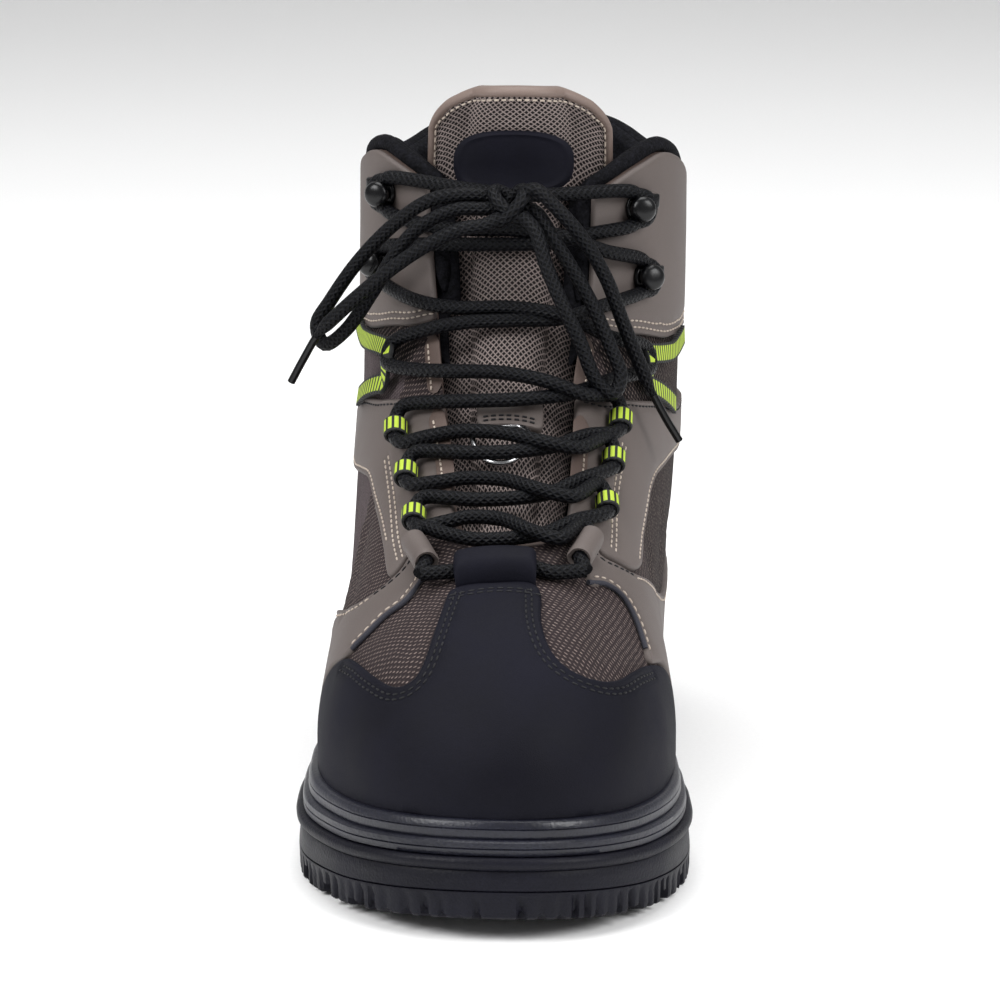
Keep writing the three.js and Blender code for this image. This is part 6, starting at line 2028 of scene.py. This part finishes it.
@dataclass
class Guides:
    """What the lace runs through: keeper, horns, webbing loops and straps, and hooks."""

    bore: float = LACE / 2 + 0.2
    hook_lean: float = 30.0

    def sleeve(self, name: str, place: tuple[float, float], lean: float, length: float, wall: float,
               flare: float) -> tuple[bpy.types.Object, np.ndarray]:
        """A guide round the lace.

        Args:
            name: The object's name.
            place: Section and angle.
            lean: How far its axis leans, in degrees.
            length: Its length.
            wall: Its wall.
            flare: How far its foot spreads, as a share.

        Returns:
            The guide and its seat.
        """
        radius = self.bore + wall
        seat = LAST.seat(*place, OVERLAY + 0.6 + radius, lean)
        half, turn = length / 2, np.radians(np.linspace(0, 180, 6))
        lip = [(math.cos(t) * wall / 2, math.sin(t) * wall / 2) for t in turn]
        middle = self.bore + wall / 2
        profile = [(middle + r, half - wall / 2 + z) for r, z in lip]
        profile += [(middle - r, -half + wall / 2 - z) for r, z in lip]
        profile = even(np.array(profile + profile[:1]), (2 * length + 4) / 26)

        def spot(u: np.ndarray, v: np.ndarray) -> np.ndarray:
            """Points round the axis."""
            k = np.rint(v * (len(profile) - 1)).astype(int)
            theta = 2 * np.pi * u - np.pi / 2
            r, z = profile[k, 0], profile[k, 1]
            down = np.maximum(-np.sin(theta), 0)
            local = np.stack([r * np.cos(theta) * (1 + flare * down), r * np.sin(theta), z], -1)
            return local @ seat[:3, :3].T + seat[:3, 3]

        obj = grid(name, 32, len(profile) - 1, spot)
        weld(obj, 0.01)
        smooth(obj, 50)
        return obj, seat

    @staticmethod
    def wrap_uv(obj: bpy.types.Object, seat: np.ndarray, length: float, radius: float) -> None:
        """Lays webbing's pattern round a guide: the share across it, and millimetres round it."""
        mesh = obj.data
        co = np.zeros(len(mesh.vertices) * 3)
        mesh.vertices.foreach_get("co", co)
        local = (co.reshape(-1, 3) / MM - seat[:3, 3]) @ seat[:3, :3]
        uv = np.stack([local[:, 2] / length + 0.5, np.arctan2(local[:, 0], local[:, 1]) * radius], -1)
        loops = np.zeros(len(mesh.loops), int)
        mesh.loops.foreach_get("vertex_index", loops)
        mesh.uv_layers[0].data.foreach_set("uv", uv[loops].ravel())

    def strap(self, side: int) -> None:
        """One length of webbing that turns round the lace and runs back to the panels twice."""
        word = "medial" if side > 0 else "lateral"
        near_up, far_up = STRAPS[f"webbing_upper_{word}"]
        near_low, far_low = STRAPS[f"webbing_lower_{word}"]
        section, angle = STATIONS[4].place(side)
        bend = (section + 0.03, angle - side * 2.2, 7.2)
        upper = np.linspace((*far_up, 2.9), (*near_up, 3.3), 10)
        lower = np.linspace((*near_low, 3.3), (*far_low, 2.9), 10)
        # A section is about 15 mm long, so that the three columns are of like size.
        scale = np.array([15, 1, 1])
        line = smooth_curve(np.concatenate([upper, [bend], lower]) * scale, 0.8) / scale
        path = LAST.point(line[:, 0], line[:, 1], line[:, 2])
        normal = LAST.normal(line[:, 0], line[:, 1])
        along = unit(np.gradient(path, axis=0))
        across = unit(np.cross(normal, along))
        length = float(np.linalg.norm(np.diff(path, axis=0), axis=1).sum())

        def spot(u: np.ndarray, v: np.ndarray) -> np.ndarray:
            """Points across the webbing."""
            k = np.rint(v * (len(path) - 1)).astype(int)
            return path[k] + across[k] * ((u - 0.5) * 6.5)[:, None]

        obj = grid(f"webbing_{word}", 6, len(path) - 1, spot, size=(1.0, length))
        apply_modifier(obj, "SOLIDIFY", thickness=1.3 * MM, offset=0.0)
        apply_modifier(obj, "BEVEL", width=0.3 * MM, segments=2, limit_method="ANGLE")
        in_edit(obj, lambda: bpy.ops.mesh.normals_make_consistent(inside=False))
        smooth(obj, 50)
        finish_piece(obj, WEBBING, f"webbing_upper_{word}", f"webbing_lower_{word}", slot="webbing")

    def hook(self, name: str, place: tuple[float, float], side: int) -> None:
        """A moulded hook: foot, neck, domed head and the wing of its foot on the outer side."""
        seat = LAST.seat(*place, OVERLAY + 0.35)
        profile = smooth_curve(np.array([
            (0.01, 0), (5.0, 0), (5.0, 1.1), (4.5, 1.6), (2.5, 2.3), (2.2, 3.0), (2.2, 4.6), (3.0, 5.0),
            (4.1, 5.5), (4.3, 6.2), (3.9, 7.3), (2.9, 8.1), (1.5, 8.5), (0.01, 8.6)]), 0.35)

        def spot(u: np.ndarray, v: np.ndarray) -> np.ndarray:
            """Points round the hook's axis."""
            k = np.rint(v * (len(profile) - 1)).astype(int)
            theta = 2 * np.pi * u
            over = profile[k, 1] - 1.6
            lean = np.radians(self.hook_lean) * np.clip(over / 1.4, 0, 1)
            x = profile[k, 0] * np.cos(theta)
            local = np.stack([x * np.cos(lean) + side * over * np.sin(lean),
                              1.6 + over * np.cos(lean) - side * x * np.sin(lean),
                              profile[k, 0] * np.sin(theta)], -1)
            return local @ seat[:3, :3].T + seat[:3, 3]

        dome = grid(name, 32, len(profile) - 1, spot)
        weld(dome, 0.01)
        leave_edit()
        bpy.ops.mesh.primitive_cube_add(size=1)
        wing = bpy.context.object
        for vertex in wing.data.vertices:
            x, y, z = vertex.co
            reach = 1.0 if x > 0 else 0.0
            local = np.array([-side * (1.5 + 5.8 * reach), 0.2 + (y + 0.5) * (3.6 if reach else 4.0),
                              (z * 4.5 + 2.6) if reach else z * 8.0])
            vertex.co = (local @ seat[:3, :3].T + seat[:3, 3]) * MM
        apply_modifier(wing, "BEVEL", width=0.9 * MM, segments=3)
        in_edit(wing, lambda: bpy.ops.mesh.normals_make_consistent(inside=False))
        obj = join(name + "_moulding", [dome, wing])
        smooth(obj, 35)
        finish_piece(obj, NYLON, name, slot="hook_nylon")

    def keeper(self, bar: np.ndarray) -> None:
        """The turned-over end of the cap's finger, bored for the lowest lace.

        Args:
            bar: The lowest lace's middle line.
        """
        def spot(u: np.ndarray, v: np.ndarray) -> np.ndarray:
            """Points over the fold and back under it."""
            outer = u <= 0.5
            share = np.where(outer, 1 - 4 * u, 4 * u - 3)
            along = 2 * v - 1
            section = 2.82 + 0.27 * along
            around = -3 + 12.5 * share
            round_ = np.clip(1 - np.abs(along) ** 3.2, 0, 1) ** 0.5
            side = np.clip(1 - np.abs(share) ** 14, 0, 1) ** 0.5
            return LAST.point(section, around, 0.2 + np.where(outer, 8.0 * round_ * side, 0.0))

        obj = grid("keeper_fold", 96, 36, spot)
        in_edit(obj, lambda: bpy.ops.mesh.remove_doubles(threshold=0.02 * MM),
                lambda: bpy.ops.mesh.normals_make_consistent(inside=False))
        cut(obj, tube("cutter", bar, LACE / 2 + 0.3, sides=20))
        smooth(obj, 40)
        finish_piece(obj, CAP_RUBBER, "keeper", slot="cap_rubber")

    def build(self, bar: np.ndarray) -> None:
        """Makes every guide."""
        for k, station in enumerate(STATIONS):
            for side, word in ((1, "medial"), (-1, "lateral")):
                place = station.place(side)
                if station.guide is Guide.HORN:
                    obj, _ = self.sleeve(f"horn_tube_{word}", place, -side * 18, 16, 1.4, 0.35)
                    finish_piece(obj, TAUPE_LEATHER, f"horn_{word}", slot="leather")
                elif station.guide is Guide.LOOP:
                    obj, seat = self.sleeve(f"loop_{k}_{word}", place, 0, 6.5, 1.2, 0.15)
                    self.wrap_uv(obj, seat, 6.5, self.bore + 1.2)
                    finish_piece(obj, WEBBING, f"webbing_loop_{k}_{word}", slot="webbing")
                elif station.guide is Guide.HOOK:
                    self.hook(f"hook_{k - 4}_{word}", place, side)
        self.strap(1)
        self.strap(-1)
        self.keeper(bar)


@dataclass
class LaceWork:
    """One round lace: under the keeper, up through the guides in two runs, and tied in a bow."""

    diameter: float = LACE
    seat_depth: float = LACE / 2 + 0.3
    beside: float = 2.3
    swap: float = 0.78
    tip: float = 19.0

    @staticmethod
    def local(index: int, side: int, inward: float, out: float, up: float, lean: float = 0.0) -> np.ndarray:
        """A point by a guide: towards the throat, off the last and up the section."""
        seat = LAST.seat(*STATIONS[index].place(side), 0.0, lean)
        return seat[:3, 3] + seat[:3, :3] @ np.array([side * inward, out, up])

    def exit(self, index: int, side: int, above: bool) -> np.ndarray:
        """Where the lace leaves a guide, below or above it."""
        guide = STATIONS[index].guide
        reach = {Guide.HORN: 12.5, Guide.LOOP: 7.4, Guide.STRAPS: 4.5, Guide.HOOK: 5.8}[guide]
        inward = {Guide.HORN: 0.5, Guide.LOOP: 3, Guide.STRAPS: 4, Guide.HOOK: 5.5}[guide]
        raised = -0.3 if guide is Guide.HOOK else 1.2
        return self.local(index, side, inward, OVERLAY + 0.9 + self.diameter / 2 + raised,
                          reach if above else -reach)

    def through(self, index: int, side: int) -> list[np.ndarray]:
        """Points through a guide, from below it to above it."""
        guide = STATIONS[index].guide
        middle = OVERLAY + 0.6 + LACE / 2 + 1.5
        if guide is Guide.HORN:
            inner = [self.local(index, side, 0, middle, z, -side * 18) for z in (-7, 0, 7)]
        elif guide is Guide.LOOP:
            inner = [self.local(index, side, 0, middle, z) for z in (-3, 0, 3)]
        elif guide is Guide.STRAPS:
            inner = [self.local(index, side, 0.6, 5.6, 0)]
        else:
            inner = [self.local(index, side, 2.0, 3.9, -4.7), self.local(index, side, -2.4, 4.4, -3.5),
                     self.local(index, side, -3.9, 4.6, 0), self.local(index, side, -2.4, 4.4, 3.5),
                     self.local(index, side, 2.0, 3.9, 4.7)]
        return [self.exit(index, side, False), *inner, self.exit(index, side, True)]

    def crossing(self, index: int, side: int, lift: float) -> list[np.ndarray]:
        """Points over the tongue, from above a guide to below the next one on the other side.

        Args:
            index: The lower station.
            side: The side that the length ends on.
            lift: How far it passes over the other length.

        Returns:
            The points between the two guides.
        """
        end, start = self.exit(index + 1, side, False), self.exit(index, -side, True)
        over = {2: 1.8, 3: 2.4}.get(index, 0)
        made = []
        # Both lengths run level and side by side, and change places near the medial end.
        level, beside = (start[2] + end[2]) / 2, self.beside * (1 if side < 0 else -1)
        for t in (0.14, 0.3, 0.5, 0.7, 0.86):
            medial = t if side < 0 else 1 - t
            seated = self.seat_depth + over + (OVERLAY + 0.6 - over) * min(abs(t - 0.5) / 0.3, 1) ** 2
            depth = seated + lift * math.exp(-(((medial - self.swap) / 0.22) ** 2))
            arch = STATIONS[index + 1].arch * 4 * t * (1 - t)
            x = end[0] + (start[0] - end[0]) * t
            settled = level + beside * math.tanh((self.swap - medial) / 0.16)
            straight = end[2] + (start[2] - end[2]) * t
            near = min(t, 1 - t) / 0.3
            z = settled if near > 1 else straight + (settled - straight) * near
            made.append(LAST.facing(x, z + arch, depth))
        return made[::-1]

    def run(self, first: int) -> np.ndarray:
        """The lace from a horn's foot up to the knot, changing sides at every station."""
        points, side = [], first
        for k in range(len(STATIONS)):
            points += self.through(k, side)
            if k + 1 < len(STATIONS):
                points += self.crossing(k, -side, 0.0 if -side > 0 else self.diameter * 0.8)
                side = -side
        end = KNOT + np.array([-side * 2.5, 7.8, 1.0])
        points += [(points[-1] + end) / 2 + np.array([0, -1.5, 0.5]), end,
                   KNOT + np.array([side * 1.5, 2.0, 0.5])]
        return smooth_curve(np.array(points), 1.3)

    def bar(self) -> np.ndarray:
        """The lowest length, from one horn's foot to the other under the keeper."""
        ends = [self.exit(0, 1, False), self.exit(0, -1, False)]
        angles = (STATIONS[0].medial[1], STATIONS[0].lateral[1])
        middle = []
        for t in (0.2, 0.35, 0.5, 0.65, 0.8):
            section = 2.83 - 0.1 * abs(t - 0.5)
            angle = angles[0] + (angles[1] - angles[0]) * t
            middle.append(LAST.point(section, angle, 0.6 + self.diameter / 2))
        return smooth_curve(np.array([ends[0], *middle, ends[1]]), 1.3)

    def knot(self) -> None:
        """Two wraps of lace drawn tight over each other."""
        made = []
        for turn, (w, d, h) in enumerate(((5.4, 3.4, 4.4), (4.4, 3.6, 4.8))):
            t = np.linspace(0, 2 * np.pi * 1.15, 60)
            lean = 0.5 if turn else -0.6
            ring = np.stack([w * np.cos(t) + lean * np.sin(t) * 2, d * np.sin(t) - 0.6 * turn,
                             h * np.sin(t + 0.9 * (1 if turn else -1))], -1)
            made.append(tube("wrap", KNOT + ring, self.diameter / 2 * 0.96, sides=14))
        finish_piece(join("knot_wraps", made), LACE_BRAID, "lace_knot", slot="lace")

    def free(self, name: str) -> None:
        """A bow loop, or an end with its tip.

        Args:
            name: The CAD node.
        """
        path = smooth_curve(np.array(FREE_LACE[name], float), 1.3)
        loop = name.startswith("bow")
        length = float(np.linalg.norm(np.diff(path, axis=0), axis=1).sum()) * MM
        left = np.linspace(length / MM, 0, len(path))
        thin = 1.0 if loop else np.clip((left - self.tip) / 5, 0, 1) * 0.5 + 0.5
        obj = tube(name + "_braid", path, self.diameter / 2 * thin)
        finish_piece(obj, LACE_BRAID, name, slot="lace")
        if not loop:
            tip = tube(name + "_tip", even(path[left < self.tip], 0.8), 1.3, sides=14)
            finish_piece(tip, NYLON)

    def build(self) -> np.ndarray:
        """Makes the lace.

        Returns:
            The lowest length's middle line.
        """
        for name in FREE_LACE:
            self.free(name)
        self.knot()
        bar = self.bar()
        radius = self.diameter / 2
        made = [tube("run", line, radius) for line in (self.run(1), self.run(-1), bar)]
        crossings = [f"lace_crossing_{k}" for k in range(1, 7)]
        finish_piece(join("lace_in_guides", made), LACE_BRAID, "lace_bar", "lace_top", *crossings,
                     slot="lace")
        return bar


@dataclass
class Studio:
    """Camera, pale floor and soft lights."""

    azimuth: float = 0.68
    elevation: float = 13.5
    distance: float = 1600.0
    focal: float = 4961.0
    target: tuple[float, float, float] = (0.0, -110.0, 90.0)
    target_px: tuple[float, float] = (308.4, 517.9)
    centre_px: tuple[float, float] = (301.0, 499.0)

    def camera(self) -> None:
        """Sets the camera to the photograph's angle, turned to the one boot."""
        a, e = math.radians(self.azimuth), math.radians(self.elevation)
        ahead = Vector((-math.sin(a) * math.cos(e), math.cos(a) * math.cos(e), -math.sin(e)))
        right = Vector((math.cos(a), math.sin(a), 0))
        up = right.cross(ahead)
        place = (Vector(self.target) - ahead * self.distance
                 - right * ((self.target_px[0] - 500) / self.focal * self.distance)
                 + up * ((self.target_px[1] - 500) / self.focal * self.distance))
        aim = (ahead + right * ((self.centre_px[0] - 500) / self.focal)
               - up * ((self.centre_px[1] - 500) / self.focal))
        leave_edit()
        bpy.ops.object.camera_add(location=place * MM, rotation=aim.to_track_quat("-Z", "Y").to_euler())
        camera = bpy.context.object
        camera.data.sensor_width = 36
        camera.data.lens = self.focal / 1000 * 36
        camera.data.clip_end = 50
        bpy.context.scene.camera = camera

    def floor(self) -> None:
        """A pale floor that rises far behind into a backdrop."""
        leave_edit()
        bpy.ops.mesh.primitive_plane_add(size=1, location=(0, 0, 0))
        obj = bpy.context.object
        obj.name = "studio_floor"
        for vertex in obj.data.vertices:
            vertex.co.x *= 9
            vertex.co.y = -3 if vertex.co.y < 0 else 2.6
        bpy.ops.object.mode_set(mode="EDIT")
        bpy.ops.mesh.select_all(action="DESELECT")
        bpy.ops.object.mode_set(mode="OBJECT")
        for edge in obj.data.edges:
            edge.select = all(obj.data.vertices[k].co.y > 0 for k in edge.vertices)
        bpy.ops.object.mode_set(mode="EDIT")
        for move in ((0, 0.25, 0.07), (0, 0.18, 0.18), (0, 0.07, 0.25), (0, 0, 3.5)):
            bpy.ops.mesh.extrude_region_move(TRANSFORM_OT_translate={"value": move})
        bpy.ops.object.mode_set(mode="OBJECT")
        smooth(obj, 60)
        obj.data.materials.append(Grained("pale studio paint", "#f4f4f4", "#f8f8f8", grain=3.0, depth=0.01,
                                          roughness=0.9, patch=900).material())
        obj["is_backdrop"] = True

    def light(self, place: tuple[float, float, float], size: float, power: float) -> None:
        """A square soft light that faces the boot.

        Args:
            place: Where it stands, in metres.
            size: Its side.
            power: Its power.
        """
        leave_edit()
        turn = (Vector((0, -0.11, 0.1)) - Vector(place)).to_track_quat("-Z", "Y").to_euler()
        bpy.ops.object.light_add(type="AREA", location=place, rotation=turn)
        lamp = bpy.context.object.data
        lamp.size, lamp.energy = size, power

    def build(self) -> None:
        """Makes the floor, the lights and the world."""
        self.floor()
        bpy.context.scene.view_settings.view_transform = "Standard"
        self.light((-1.1, -0.9, 1.2), 0.9, 25)
        self.light((1.2, -0.8, 1.1), 0.9, 22)
        self.light((0.0, 0.2, 1.7), 1.1, 19)
        world = bpy.context.scene.world or bpy.data.worlds.new("studio")
        bpy.context.scene.world = world
        world.use_nodes = True
        world.node_tree.nodes["Background"].inputs["Color"].default_value = (1, 1, 1, 1)
        world.node_tree.nodes["Background"].inputs["Strength"].default_value = 0.3


def main() -> None:
    """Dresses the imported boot."""
    logging.basicConfig(level=logging.INFO, format="%(message)s")
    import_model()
    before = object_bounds()
    studio = Studio()
    studio.camera()
    bar = LaceWork().build()
    Sole().build()
    Upper().build()
    CollarLining().build()
    Tongue().build()
    Guides().build(bar)
    studio.build()
    leave_edit()
    boxes = [[list(map(float, corner)) for corner in pair] for pair in (before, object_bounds())]


if __name__ == "__main__":
    main()
